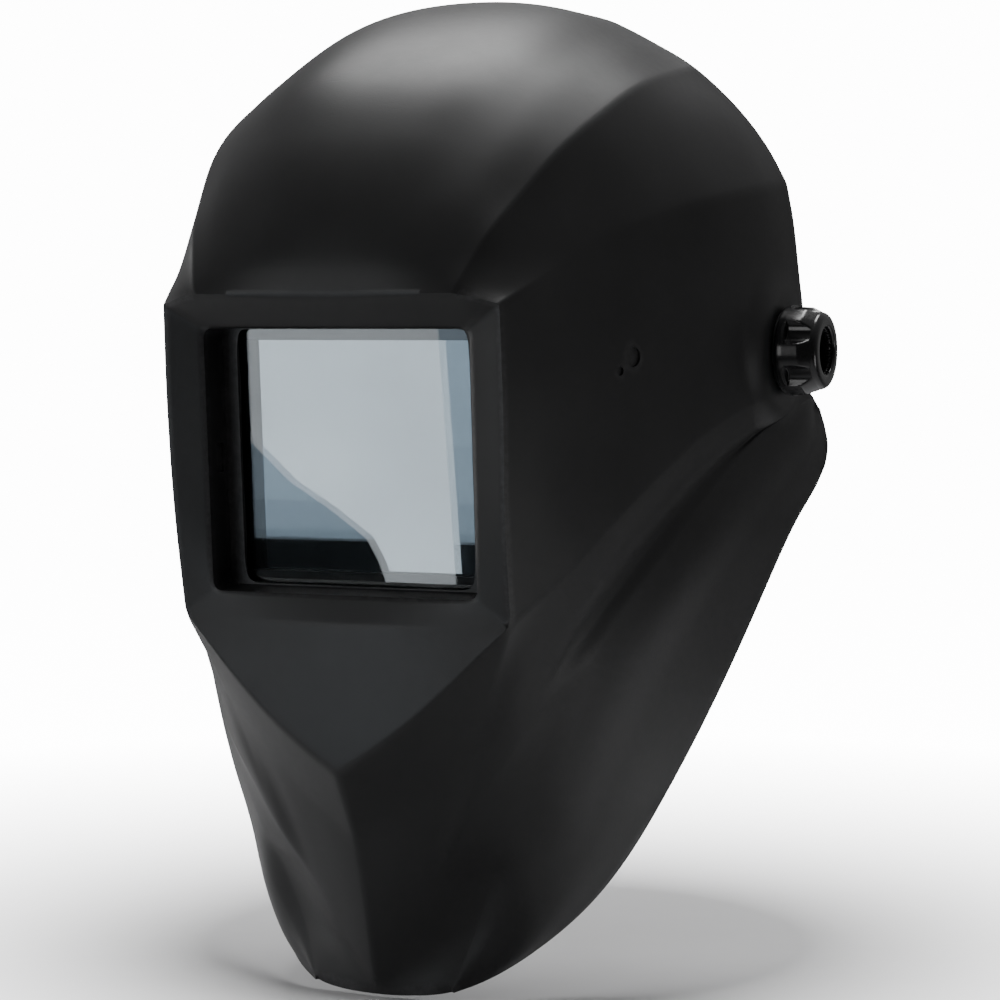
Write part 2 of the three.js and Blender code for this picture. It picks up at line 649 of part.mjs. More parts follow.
// ---- Shell --------------------------------------------------------------------------------
function shellSolid() {
  let body = shellBody();
  for (const { sign } of SIDES) {
    // The pivot seat: flat outside and inside, with a sloped edge that runs into the side wall.
    const boss = turned([
      [SEAT_OUTSIDE - 7, 0],
      [SEAT_OUTSIDE - 7, PIVOT_SEAT_RADIUS + 4],
      [SEAT_OUTSIDE, PIVOT_SEAT_RADIUS],
      [SEAT_OUTSIDE, 0],
    ]);
    const outside = rod("x", PIVOT_SEAT_RADIUS, SEAT_OUTSIDE, SEAT_OUTSIDE + 20, [0, 0], 36);
    const inside = rod("x", PIVOT_SEAT_RADIUS - 1.5, SEAT_INSIDE - 20, SEAT_INSIDE, [0, 0], 36);
    body = body.add(sided(boss, sign)).subtract(sided(outside.add(inside), sign));
    // The rib that rests against the angle stop.
    const rib = block(
      [STOP_INSIDE + FACE_GAP, BLOCK_RADIUS, -5.3],
      [SEAT_INSIDE + 0.5, STOP_REACH - 0.2, -2 - FACE_GAP],
    );
    body = body.add(sided(rib, sign));
    body = body.subtract(sided(through(BOLT_HOLE, 0, 0, 24), sign));
    // Two blind marks in the side wall, where a second stop position can be opened up.
    for (const [y, z, radius] of [[-85, -1.5, 3.3], [-91, -6, 1.5]]) {
      const mark = rod("x", radius, -1.2, 6, [0, 0], 16).rotate([0, 0, -19]);
      body = body.subtract(sided(mark.translate([markDistance(y), y, z]), sign));
    }
    // The slots for the glass holder's tabs.
    const slot = block(
      [WINDOW_WIDTH / 2 - 3, TAB_SETBACK - FIT_GAP, -TAB_HEIGHT / 2 - FIT_GAP],
      [WINDOW_WIDTH / 2 + SHELL_WALL + 1, TAB_SETBACK + TAB_DEPTH + FIT_GAP, TAB_HEIGHT / 2 + FIT_GAP],
    );
    body = body.subtract(inWindow(sided(slot, sign)));
  }
  return body;
}

// Outside of the side wall near its marks, for a place in front of the pivots.
function markDistance(y) {
  const front = place([78.2, -96, -5]);
  const rear = place([87.4, -70, -5]);
  return stretch(y, front.y, rear.y, front.x, rear.x);
}

addMesh(part, "shell", shellSolid(), FINISH.shell());

// ---- Glass stack and its holder -----------------------------------------------------------
const PANE = [GLASS_WIDTH, GLASS_HEIGHT, 1];
const FRAME = [GLASS_WIDTH + 0.4, GLASS_HEIGHT + 0.4, 1];
const pane = (y0, thickness) => inWindow(windowFrame(...PANE, y0, thickness));

addMesh(part, "cover_glass", pane(COVER_Y, COVER_THICKNESS), FINISH.clear());
const seatOpening = [FRAME[0] - 2 * SEAT_STILE, FRAME[1] - 2 * SEAT_RAIL, 2];
const seatFrame = windowFrame(...FRAME, SEAT_Y, SEAT_THICKNESS, seatOpening);
addMesh(part, "filter_seat", inWindow(seatFrame), FINISH.frame());
addMesh(part, "filter_glass", pane(FILTER_Y, FILTER_THICKNESS), FINISH.dark());
const sealOpening = [GLASS_WIDTH - 12, GLASS_HEIGHT - 12, 2];
const seal = windowFrame(...PANE, SEAL_Y, SEAL_THICKNESS, sealOpening);
addMesh(part, "glass_seal", inWindow(seal), FINISH.rubber());
addMesh(part, "inner_plate", pane(INNER_Y, COVER_THICKNESS), FINISH.clear());
const retainerOpening = [GLASS_WIDTH - 14, GLASS_HEIGHT - 14, 3];
const retainer = windowFrame(...FRAME, RETAINER_Y, RETAINER_THICKNESS, retainerOpening);
addMesh(part, "retainer_frame", inWindow(retainer), FINISH.frame());

function holderSolid() {
  const cavity = [GLASS_WIDTH + 1, GLASS_HEIGHT + 1, 1.4];
  const skirtHole = [
    WINDOW_WIDTH + 2 * (SHELL_WALL + FIT_GAP),
    WINDOW_HEIGHT + 2 * (SHELL_WALL + FIT_GAP),
    1,
  ];
  const outer = [cavity[0] + 2 * HOLDER_WALL, cavity[1] + 2 * HOLDER_WALL, 6];
  const seam = LIP_BACK - FACE_GAP;
  const front = windowFrame(...outer, TAB_SETBACK, seam - TAB_SETBACK + 0.01, skirtHole);
  const back = windowFrame(...outer, seam, RETAINER_BACK - seam, cavity);
  let body = front.add(back);
  for (const { sign } of SIDES) {
    const tab = block(
      [WINDOW_WIDTH / 2 + FACE_GAP, TAB_SETBACK, -TAB_HEIGHT / 2],
      [WINDOW_WIDTH / 2 + SHELL_WALL + 2, TAB_SETBACK + TAB_DEPTH, TAB_HEIGHT / 2],
    );
    const boss = block(
      [outer[0] / 2 - 1, RETAINER_BACK - 11, -5.5],
      [CLIP_PLACE + 4, RETAINER_BACK, 5.5],
    );
    const hole = rod("y", CLIP_SCREW_RADIUS + FACE_GAP, CLIP_Y - 8, CLIP_Y, [CLIP_PLACE, 0], 12);
    body = body.add(sided(tab.add(boss), sign)).subtract(sided(hole, sign));
  }
  return body;
}
addMesh(part, "lens_holder", inWindow(holderSolid()), FINISH.frame());

function clipSolid() {
  const [w, t] = [CLIP_WIDTH / 2, CLIP_THICKNESS];
  const ends = [CLIP_PLACE, CLIP_PLACE - CLIP_LENGTH + w * 2].map((x) =>
    rod("y", w, CLIP_Y, CLIP_Y + t, [x, 0], 20),
  );
  const hole = rod("y", CLIP_SCREW_RADIUS + FIT_GAP, CLIP_Y - 1, CLIP_Y + t + 1, [CLIP_PLACE, 0], 16);
  const fingerRidge = block(
    [CLIP_PLACE - CLIP_LENGTH + w + 1, CLIP_Y + t - 0.2, -w + 1],
    [CLIP_PLACE - CLIP_LENGTH + w + 2.5, CLIP_Y + t + 1.6, w - 1],
  );
  return wasm.Manifold.hull(ends).subtract(hole).add(fingerRidge);
}

function clipScrewSolid() {
  const top = CLIP_BACK + FACE_GAP;
  const shank = rod("y", CLIP_SCREW_RADIUS, CLIP_Y - 7, top + 0.2, [CLIP_PLACE, 0], 16);
  const head = rod("y", 3, top, top + 1.8, [CLIP_PLACE, 0], 20);
  const groove = block([CLIP_PLACE - 4, top + 1, -0.5], [CLIP_PLACE + 4, top + 2, 0.5]);
  return shank.add(head).subtract(groove);
}

for (const { side, sign } of SIDES) {
  addMesh(part, `glass_clip_${side}`, inWindow(sided(clipSolid(), sign)), FINISH.knob());
  addMesh(part, `clip_screw_${side}`, inWindow(sided(clipScrewSolid(), sign)), FINISH.steel());
}

// ---- Tension knobs and pivots --------------------------------------------------------------
function knobSolid() {
  const [x0, x1] = [KNOB_INSIDE, KNOB_OUTSIDE];
  const pocket = INSERT_RADIUS + FIT_GAP;
  let body = turned([
    [x0, pocket],
    [x0, KNOB_RADIUS - 0.6],
    [x0 + 0.6, KNOB_RADIUS],
    [x0 + 2.4, KNOB_RADIUS],
    [x1 - 2, KNOB_FACE_RADIUS],
    [x1 - 0.6, KNOB_FACE_RADIUS - 0.5],
    [x1, KNOB_FACE_RADIUS - 1.6],
    [x1, KNOB_BORE_RADIUS],
    [x1 - KNOB_BORE_DEPTH, KNOB_BORE_RADIUS],
    [x1 - KNOB_BORE_DEPTH, 0],
    [BOLT_END + FACE_GAP, 0],
    [BOLT_END + FACE_GAP, pocket],
    [x0, pocket],
  ]);
  for (let i = 0; i < KNOB_FLUTES; i++) {
    const angle = FLUTE_TURN + (i * 2 * Math.PI) / KNOB_FLUTES;
    const reach = KNOB_RADIUS + 2.4;
    const centre = [-reach * Math.cos(angle), -reach * Math.sin(angle)];
    body = body.subtract(rod("x", 4.7, x0 + 2.4, x1 + 1, centre, 14));
  }
  return body;
}

function ring(outer, inner, x0, x1, sides = 32) {
  return turned([[x0, inner], [x0, outer], [x1, outer], [x1, inner], [x0, inner]], sides);
}

function stopSolid() {
  const [x0, x1] = [STOP_INSIDE, STOP_INSIDE + STOP_THICKNESS];
  const disc = rod("x", BLOCK_RADIUS - 1, x0, x1, [0, 0], 28);
  const lug = block([x0, 8, -2], [x1, STOP_REACH, 2]);
  const peg = rod("x", 1.2, x0 - 2.5, x0 + 0.1, [0, 7], 10);
  return disc.add(lug).add(peg).subtract(through(BOLT_HOLE, 0, 0, 20));
}

function pivotBlockSolid() {
  const x0 = PLATE_OUTSIDE + FIT_GAP;
  const x1 = STOP_INSIDE - FACE_GAP;
  const shoe = sidePlate(x0, x0 + 4.4, [-15, -9], [15, 9], 3);
  const boss = rod("x", BLOCK_RADIUS, x0 + 4.3, x1, [0, 0], 32);
  const pegHole = rod("x", 1.2 + FACE_GAP, x1 - 2.8, x1 + 1, [0, 7], 10);
  return shoe.add(boss).subtract(through(BOLT_HOLE, 0, 0, 20)).subtract(pegHole);
}

function boltSolid() {
  const headEnd = PLATE_INSIDE - 0.5;
  const head = rod("x", BOLT_HEAD_RADIUS, headEnd - BOLT_HEAD_THICKNESS, headEnd, [0, 0], 28);
  const half = BOLT_NECK / 2;
  const neck = block([headEnd - 0.1, -half, -half], [PLATE_OUTSIDE, half, half]);
  return head.add(neck).add(rod("x", BOLT_RADIUS, headEnd, BOLT_END, [0, 0], 20));
}

// ---- Headgear ------------------------------------------------------------------------------
const BAND_MIDDLE = BAND_LOW + BAND_HEIGHT / 2;
const BAND_CENTRE = -2; // where the front curve of the headband meets its straight sides
const RIVET_HEIGHT = BAND_LOW + BAND_HEIGHT - 7;
const RIVET_PLACES = [-6, 24];
const STUD_HEIGHT = BAND_LOW + BAND_HEIGHT - 8;
const BAND_INSIDE = BAND_HALF_WIDTH - BAND_THICKNESS;
const REAR_PEG_PLACE = 38;

// The plan of the headband, or of a line inside it, over a part of its front curve.
function bandCurve(inset, fromAngle, toAngle, steps) {
  const line = [];
  for (let i = 0; i <= steps; i++) {
    const angle = fromAngle + ((toAngle - fromAngle) * i) / steps;
    const x = (BAND_HALF_WIDTH - inset) * Math.sin(angle);
    const y = BAND_CENTRE - (BAND_FRONT + BAND_CENTRE - inset) * Math.cos(angle);
    line.push(v3(x, y, BAND_MIDDLE));
  }
  return line;
}

function headbandSolid() {
  const inset = BAND_THICKNESS / 2;
  const line = bandCurve(inset, -Math.PI / 2, Math.PI / 2, 22);
  const side = BAND_HALF_WIDTH - inset;
  line.unshift(v3(-side, BAND_TAIL, BAND_MIDDLE));
  line.push(v3(side, BAND_TAIL, BAND_MIDDLE));
  let body = strap(line, v3(0, 0, 1), BAND_HEIGHT, BAND_THICKNESS);
  for (const { sign } of SIDES) {
    for (const y of RIVET_PLACES) body = body.subtract(sided(through(2.3, y, RIVET_HEIGHT, 12), sign));
    body = body.subtract(sided(through(2.4, CROWN_PLACE, STUD_HEIGHT, 12), sign));
    const slot = sidePlate(
      BAND_INSIDE - 2,
      BAND_HALF_WIDTH + 2,
      [REAR_PEG_PLACE - REAR_IN - 2.4, REAR_STRAP_PLACE - 2.4],
      [REAR_PEG_PLACE + REAR_OUT + 2.4, REAR_STRAP_PLACE + 2.4],
      2.3,
    );
    body = body.subtract(sided(slot, sign));
  }
  return body;
}
addMesh(part, "front_headband", headbandSolid(), FINISH.band());

const sweatLine = bandCurve(BAND_THICKNESS + FIT_GAP + SWEAT_THICKNESS / 2, -1.1, 1.1, 16);
const sweat = strap(sweatLine, v3(0, 0, 1), SWEAT_HEIGHT, SWEAT_THICKNESS);
addMesh(part, "sweatband", sweat, FINISH.pad());

function sidePlateSolid() {
  const half = BOLT_NECK / 2 + FIT_GAP;
  const [x0, x1] = [PLATE_INSIDE, PLATE_OUTSIDE];
  let body = sidePlate(x0, x1, [-30, -14], [31, BAND_LOW + BAND_HEIGHT], 6);
  const slot = block([x0 - 1, -SLIDE_FORWARD - half, -half], [x1 + 1, SLIDE_BACK + half, half]);
  body = body.subtract(slot);
  for (const y of RIVET_PLACES) {
    body = body.add(rod("x", 4.2, BAND_HALF_WIDTH + FIT_GAP, x0 + 0.1, [y, RIVET_HEIGHT], 16));
    body = body.subtract(through(2.3, y, RIVET_HEIGHT, 12));
  }
  return body;
}

function rivetSolid(y) {
  const at = [y, RIVET_HEIGHT];
  const inner = BAND_INSIDE - 0.7;
  const outer = PLATE_OUTSIDE + FIT_GAP;
  const shank = rod("x", 2, inner - 0.1, outer + 0.1, at, 10);
  return shank.add(rod("x", 3.4, inner - 1, inner, at, 12)).add(rod("x", 3.6, outer, outer + 1.2, at, 12));
}

const CROWN_LEG = BAND_INSIDE - FIT_GAP - STRAP_THICKNESS / 2;
const CROWN_SPRING = 45; // height where the crown strap starts to curve over the head
const CROWN_OVERLAP = 22;
const CROWN_STEPS = 18;

// One crown strap, from its leg inside the headband over the top and past the middle.
function crownStrapSolid(drop) {
  const rise = CROWN_TOP + STRAP_THICKNESS / 2 - drop - CROWN_SPRING;
  const line = [STUD_HEIGHT - CROWN_UP - 9, (STUD_HEIGHT + CROWN_SPRING) / 2].map((z) =>
    v3(CROWN_LEG, CROWN_PLACE, z),
  );
  const end = Math.acos(-CROWN_OVERLAP / CROWN_LEG);
  for (let i = 0; i <= CROWN_STEPS; i++) {
    const angle = (end * i) / CROWN_STEPS;
    const z = CROWN_SPRING + rise * Math.sin(angle);
    line.push(v3(CROWN_LEG * Math.cos(angle), CROWN_PLACE, z));
  }
  let body = strap(line, v3(0, 1, 0), STRAP_WIDTH, STRAP_THICKNESS);
  for (const x of [-12, 0, 12]) {
    body = body.subtract(rod("z", 2.9, CROWN_TOP - 12, CROWN_TOP + 8, [x, CROWN_PLACE], 10));
  }
  const slot = sidePlate(
    CROWN_LEG - 3,
    CROWN_LEG + 3,
    [CROWN_PLACE - 2.4, STUD_HEIGHT - CROWN_UP - 2.4],
    [CROWN_PLACE + 2.4, STUD_HEIGHT + CROWN_DOWN + 2.4],
    2.3,
  );
  return body.subtract(slot);
}

function crownStudSolid() {
  const at = [CROWN_PLACE, STUD_HEIGHT];
  const inner = CROWN_LEG - STRAP_THICKNESS / 2 - FIT_GAP;
  const shank = rod("x", 2, inner - 0.1, BAND_HALF_WIDTH - 0.2, at, 14);
  return shank.add(rod("x", 4.2, inner - 1.5, inner, at, 18));
}

function crownPegSolid() {
  const top = CROWN_TOP + STRAP_THICKNESS + FIT_GAP;
  const low = CROWN_TOP - 2 * FIT_GAP - STRAP_THICKNESS;
  const at = [0, CROWN_PLACE];
  const shank = rod("z", 2.5, low - 1.4, top + 0.1, at, 16);
  return shank.add(rod("z", 5.5, top, top + 1.5, at, 24)).add(rod("z", 3.6, low - 1.5, low - 0.1, at, 16));
}

// ---- Rear band and size adjuster -----------------------------------------------------------
const RACK_WIDTH = 7;
const RACK_OFFSET = PINION_RADIUS + FACE_GAP + RACK_WIDTH / 2;
const HOUSING_HALF = 38;
const REAR_LINE = BAND_HALF_WIDTH + FIT_GAP + STRAP_THICKNESS / 2;

// One rear strap: it drops from the headband to the nape and ends as a rack, above the pinion
// where `up` is 1 and below it where `up` is -1.
function rearStrapSolid(up) {
  const [side, nape, back] = [REAR_LINE, NAPE_HEIGHT, NAPE_REACH];
  const bend = new THREE.CatmullRomCurve3(
    [
      v3(side, BAND_TAIL - 6, REAR_STRAP_PLACE),
      v3(side, BAND_TAIL + 14, REAR_STRAP_PLACE - 8),
      v3(side - 2, BAND_TAIL + 24, REAR_STRAP_PLACE - 15),
      v3(side - 8.5, back - 16, REAR_STRAP_PLACE - 25),
      v3(side - 21.5, back - 6, nape + 10),
      v3(side - 33.5, back - 1.4, nape + 3),
      v3(HOUSING_HALF - 2, back, nape),
    ],
    false,
    "centripetal",
  );
  const line = [v3(side, REAR_PEG_PLACE - 6, REAR_STRAP_PLACE), ...bend.getSpacedPoints(22)];
  const widths = line.map(() => REAR_STRAP_WIDTH);
  line.push(v3(HOUSING_HALF - 12, back, nape + up * RACK_OFFSET));
  line.push(v3(-HOUSING_HALF + 14, back, nape + up * RACK_OFFSET));
  widths.push(RACK_WIDTH, RACK_WIDTH);
  const peg = rod("x", 2, BAND_INSIDE + 0.2, side, [REAR_PEG_PLACE, REAR_STRAP_PLACE], 12);
  return strap(line, v3(0, 0, 1), widths, STRAP_THICKNESS).add(peg);
}

function adjusterPlate(halfWidth, halfHeight, y0, y1, radius) {
  const plate = windowFrame(2 * halfWidth, 2 * halfHeight, radius, y0, y1 - y0);
  return plate.translate([0, 0, NAPE_HEIGHT]);
}

const TRAY_FLOOR = NAPE_REACH - STRAP_THICKNESS / 2 - FIT_GAP;
const TRAY_EDGE = TRAY_FLOOR + 3.4;
const COVER_BACK = TRAY_EDGE + FACE_GAP + 2.5;
const TRAY_HALF_HEIGHT = RACK_OFFSET + RACK_WIDTH / 2 + FIT_GAP + 2.4;

function housingSolid() {
  const body = adjusterPlate(HOUSING_HALF, TRAY_HALF_HEIGHT, TRAY_FLOOR - 2.4, TRAY_EDGE, 5);
  const hollow = adjusterPlate(HOUSING_HALF - 2.4, TRAY_HALF_HEIGHT - 2.4, TRAY_FLOOR, TRAY_EDGE + 1, 3);
  const half = REAR_STRAP_WIDTH / 2 + 1;
  const mouths = block(
    [-HOUSING_HALF - 1, TRAY_FLOOR, NAPE_HEIGHT - half],
    [HOUSING_HALF + 1, TRAY_EDGE + 1, NAPE_HEIGHT + half],
  );
  return body.subtract(hollow).subtract(mouths);
}

function ratchetCoverSolid() {
  const plate = adjusterPlate(HOUSING_HALF, TRAY_HALF_HEIGHT, TRAY_EDGE + FACE_GAP, COVER_BACK, 5);
  return plate.subtract(rod("y", 4 + FIT_GAP, TRAY_EDGE - 1, COVER_BACK + 1, [0, NAPE_HEIGHT], 20));
}

function pinionSolid() {
  const outline = new THREE.Shape();
  for (let i = 0; i < PINION_TEETH * 4; i++) {
    const angle = ((i + 0.5) * 2 * Math.PI) / (PINION_TEETH * 4);
    const radius = i % 4 < 2 ? PINION_RADIUS : PINION_RADIUS - 1.8;
    const at = [radius * Math.cos(angle), radius * Math.sin(angle)];
    if (i === 0) outline.moveTo(...at);
    else outline.lineTo(...at);
  }
  outline.closePath();
  const gear = windowPlate(outline, TRAY_FLOOR + FACE_GAP, 2.6).translate([0, 0, NAPE_HEIGHT]);
  const shaft = rod("y", 4, TRAY_FLOOR + FACE_GAP + 1, COVER_BACK + 5, [0, NAPE_HEIGHT], 20);
  return gear.add(shaft);
}

function ratchetKnobSolid() {
  const base = COVER_BACK + FIT_GAP;
  const length = RATCHET_LENGTH;
  let body = turned([
    [0, 4 + FACE_GAP],
    [0, RATCHET_RADIUS - 1],
    [1, RATCHET_RADIUS],
    [length - 2, RATCHET_RADIUS - 1],
    [length, RATCHET_RADIUS - 3.5],
    [length, 0],
    [5, 0],
    [5, 4 + FACE_GAP],
    [0, 4 + FACE_GAP],
  ]);
  for (let i = 0; i < 12; i++) {
    const angle = (i * Math.PI) / 6;
    const centre = [(RATCHET_RADIUS + 1) * Math.cos(angle), (RATCHET_RADIUS + 1) * Math.sin(angle)];
    body = body.subtract(rod("x", 2, 2, length + 1, centre, 8));
  }
  return body.rotate([0, 0, 90]).translate([0, base, NAPE_HEIGHT]);
}

for (const { side, sign } of SIDES) {
  const pinned = (solid) => sided(solid, sign);
  addMesh(part, `side_plate_${side}`, pinned(sidePlateSolid()), FINISH.band());
  addMesh(part, `plate_rivet_${side}_front`, pinned(rivetSolid(RIVET_PLACES[0])), FINISH.steel());
  addMesh(part, `plate_rivet_${side}_rear`, pinned(rivetSolid(RIVET_PLACES[1])), FINISH.steel());
  addMesh(part, `pivot_bolt_${side}`, pinned(boltSolid()), FINISH.steel());
  addMesh(part, `pivot_block_${side}`, pinned(pivotBlockSolid()), FINISH.knob());
  addMesh(part, `angle_stop_${side}`, pinned(stopSolid()), FINISH.knob());
  const washer = ring(WASHER_RADIUS, BOLT_HOLE, WASHER_INSIDE, WASHER_INSIDE + WASHER_THICKNESS);
  addMesh(part, `friction_washer_${side}`, pinned(washer), FINISH.rubber());
  addMesh(part, `knob_${side}`, pinned(knobSolid()), FINISH.knob());
  const insertStart = KNOB_INSIDE + INSERT_SETBACK;
  const insert = ring(INSERT_RADIUS, BOLT_RADIUS + FACE_GAP, insertStart, BOLT_END, 20);
  addMesh(part, `knob_insert_${side}`, pinned(insert), FINISH.brass());
  addMesh(part, `crown_stud_${side}`, pinned(crownStudSolid()), FINISH.band());
  const drop = sign > 0 ? 0 : STRAP_THICKNESS + FIT_GAP;
  addMesh(part, `crown_strap_${side}`, pinned(crownStrapSolid(drop)), FINISH.band());
  addMesh(part, `rear_strap_${side}`, pinned(rearStrapSolid(sign)), FINISH.band());
}
addMesh(part, "crown_peg", crownPegSolid(), FINISH.band());
addMesh(part, "ratchet_housing", housingSolid(), FINISH.band());
addMesh(part, "ratchet_cover", ratchetCoverSolid(), FINISH.band());
addMesh(part, "ratchet_pinion", pinionSolid(), FINISH.band());
addMesh(part, "ratchet_knob", ratchetKnobSolid(), FINISH.knob());
const rearPad = adjusterPlate(HOUSING_HALF + 2, TRAY_HALF_HEIGHT, TRAY_FLOOR - 8.6, TRAY_FLOOR - 2.8, 8);
addMesh(part, "rear_pad", rearPad, FINISH.pad());

export default part;
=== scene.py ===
"""Visual model of a passive welding helmet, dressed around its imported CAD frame.

The helmet faces -Y, its wearer's left is +X and +Z is up. The origin is on the tipping axis of
the shell, midway between the two side pivots. Sizes in the classes are millimetres, apart from
those of the camera and the lamps; a mesh is turned into metres where it is made.
"""

from __future__ import annotations

import logging
import math
from dataclasses import dataclass, field
from enum import Enum
from typing import Iterable, Sequence

import bmesh
import bpy
import numpy as np
from mathutils import Matrix, Vector


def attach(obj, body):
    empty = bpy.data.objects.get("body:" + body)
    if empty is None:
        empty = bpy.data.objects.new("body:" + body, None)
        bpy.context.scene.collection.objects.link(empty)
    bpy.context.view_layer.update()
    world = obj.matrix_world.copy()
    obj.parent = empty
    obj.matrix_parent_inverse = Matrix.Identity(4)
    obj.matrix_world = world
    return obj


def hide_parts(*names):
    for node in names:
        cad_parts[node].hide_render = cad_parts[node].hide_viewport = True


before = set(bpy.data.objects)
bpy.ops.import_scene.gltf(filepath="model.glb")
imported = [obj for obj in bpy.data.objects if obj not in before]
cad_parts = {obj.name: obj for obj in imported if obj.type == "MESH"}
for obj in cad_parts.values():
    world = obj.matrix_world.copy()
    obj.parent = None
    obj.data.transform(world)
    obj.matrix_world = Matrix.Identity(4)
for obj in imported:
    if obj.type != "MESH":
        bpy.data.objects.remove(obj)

LOG = logging.getLogger("helmet")
MM = 0.001
Point = tuple[float, float, float]
Faces = list[list[int]]
Socket = bpy.types.NodeSocket


class Side(Enum):
    """The wearer's side that a paired piece sits on; the value is the sign of its X."""

    LEFT = 1
    RIGHT = -1

    @property
    def label(self) -> str:
        """Lower-case name used in node and piece names."""
        return self.name.lower()


# ---- Mesh tools ---------------------------------------------------------------------------------


def add_piece(name: str, points: np.ndarray, faces: Iterable[Sequence[int]]) -> bpy.types.Object:
    """Make a mesh object from points in millimetres.

    Args:
        name: Name of the object and of its mesh.
        points: One row of X, Y, Z per vertex, in millimetres.
        faces: Vertex indices of each face.

    Returns:
        The linked object, smooth shaded.
    """
    mesh = bpy.data.meshes.new(name)
    mesh.from_pydata((np.asarray(points, float) * MM).tolist(), [], [list(f) for f in faces])
    mesh.validate()
    mesh.shade_smooth()
    piece = bpy.data.objects.new(name, mesh)
    bpy.context.scene.collection.objects.link(piece)
    return piece


def tidy_mesh(piece: bpy.types.Object, distance: float = 0.02) -> None:
    """Join coincident vertices, drop flat faces and turn all faces outwards.

    Args:
        piece: Mesh object to clean.
        distance: Largest gap that is joined, in millimetres.
    """
    work = bmesh.new()
    work.from_mesh(piece.data)
    bmesh.ops.remove_doubles(work, verts=work.verts, dist=distance * MM)
    bmesh.ops.dissolve_degenerate(work, edges=work.edges, dist=1e-7)
    bmesh.ops.recalc_face_normals(work, faces=work.faces)
    work.to_mesh(piece.data)
    work.free()
    piece.data.shade_smooth()


def bake_modifiers(piece: bpy.types.Object) -> None:
    """Replace a piece's mesh by its evaluated one and drop its modifiers.

    Args:
        piece: Mesh object whose modifiers are applied.
    """
    graph = bpy.context.evaluated_depsgraph_get()
    made = bpy.data.meshes.new_from_object(piece.evaluated_get(graph))
    piece.modifiers.clear()
    piece.data = made


def vertex_table(mesh: bpy.types.Mesh, what: str = "co") -> np.ndarray:
    """Read the points of a mesh in metres, or its vertex normals. Returns one row per vertex."""
    table = np.empty(len(mesh.vertices) * 3)
    mesh.vertices.foreach_get(what, table)
    return table.reshape(-1, 3)


def move_points(mesh: bpy.types.Mesh, table: np.ndarray) -> None:
    """Put the points of a mesh at the rows of a table, in metres."""
    mesh.vertices.foreach_set("co", table.ravel())
    mesh.update()


def weld_points(piece: bpy.types.Object) -> None:
    """Join the vertices of a piece that lie on each other, with a modifier."""
    weld = piece.modifiers.new("weld", "WELD")
    weld.merge_threshold = 1e-5


def bevel_edges(piece: bpy.types.Object, width: float, angle: float, steps: int) -> None:
    """Round a piece's sharp edges, with a modifier.

    Args:
        piece: Mesh object.
        width: Bevel width in millimetres.
        angle: Edges sharper than this many degrees are rounded.
        steps: Segments across each rounded edge.
    """
    bevel = piece.modifiers.new("rounding", "BEVEL")
    bevel.width = width * MM
    bevel.segments = steps
    bevel.limit_method = "ANGLE"
    bevel.angle_limit = math.radians(angle)


def round_edges(piece: bpy.types.Object, width: float) -> None:
    """Weld a piece's split vertices, round its sharp edges and shade it smooth elsewhere.

    Args:
        piece: Mesh object, a CAD node or a new piece.
        width: Bevel width in millimetres.
    """
    weld_points(piece)
    bevel_edges(piece, width, angle=35.0, steps=2)
    even = piece.modifiers.new("even_shading", "WEIGHTED_NORMAL")
    even.keep_sharp = True
    piece.data.shade_smooth()


def cut(piece: bpy.types.Object, cutters: Sequence[bpy.types.Object]) -> None:
    """Take the cutters' volumes out of a piece, then remove the cutters.

    Args:
        piece: Closed mesh object to cut.
        cutters: Closed mesh objects that aren't kept.
    """
    group = bpy.data.collections.new("cutters")
    bpy.context.scene.collection.children.link(group)
    for cutter in cutters:
        group.objects.link(cutter)
    change = piece.modifiers.new("cut", "BOOLEAN")
    change.operation = "DIFFERENCE"
    change.solver = "EXACT"
    change.operand_type = "COLLECTION"
    change.collection = group
    bake_modifiers(piece)
    for cutter in cutters:
        bpy.data.objects.remove(cutter, do_unlink=True)
    bpy.data.collections.remove(group)
    piece.data.shade_smooth()


def grid_faces(rows: int, columns: int, start: int = 0, closed: bool = False) -> Faces:
    """Quads over a grid of points stored row by row.

    Args:
        rows: Number of rows.
        columns: Points in each row.
        start: Index of the first point.
        closed: Whether each row joins its own end.

    Returns:
        Four indices per face.
    """
    faces = []
    for i in range(rows - 1):
        for j in range(columns if closed else columns - 1):
            k = (j + 1) % columns
            a, b = start + i * columns, start + (i + 1) * columns
            faces.append([a + j, a + k, b + k, b + j])
    return faces


def full_turn(count: int) -> np.ndarray:
    """Equally spaced angles round a full turn, in radians."""
    return np.arange(count) * 2 * math.pi / count


def turned_grid(rings: Sequence[tuple[float, np.ndarray]], turns: int) -> tuple[np.ndarray, Faces]:
    """A body turned about X, with its own radius at each angle of each ring.

    Args:
        rings: Distance along X and the radius at each angle, ring after ring.
        turns: Number of angles in a ring.

    Returns:
        The points and faces. The first and last rings are closed with a fan to the axis.
    """
    angles = full_turn(turns)
    across, up = np.cos(angles), np.sin(angles)
    rows = [np.stack([np.full(turns, along), -radius * across, -radius * up], axis=1)
            for along, radius in rings]
    points = np.concatenate(rows)
    faces = grid_faces(len(rings), turns, closed=True)
    for ring, flip in ((0, False), (len(rings) - 1, True)):
        centre = len(points)
        points = np.vstack([points, [rings[ring][0], 0, 0]])
        for j in range(turns):
            a, b = ring * turns + j, ring * turns + (j + 1) % turns
            faces.append([a, b, centre] if flip else [b, a, centre])
    return points, faces


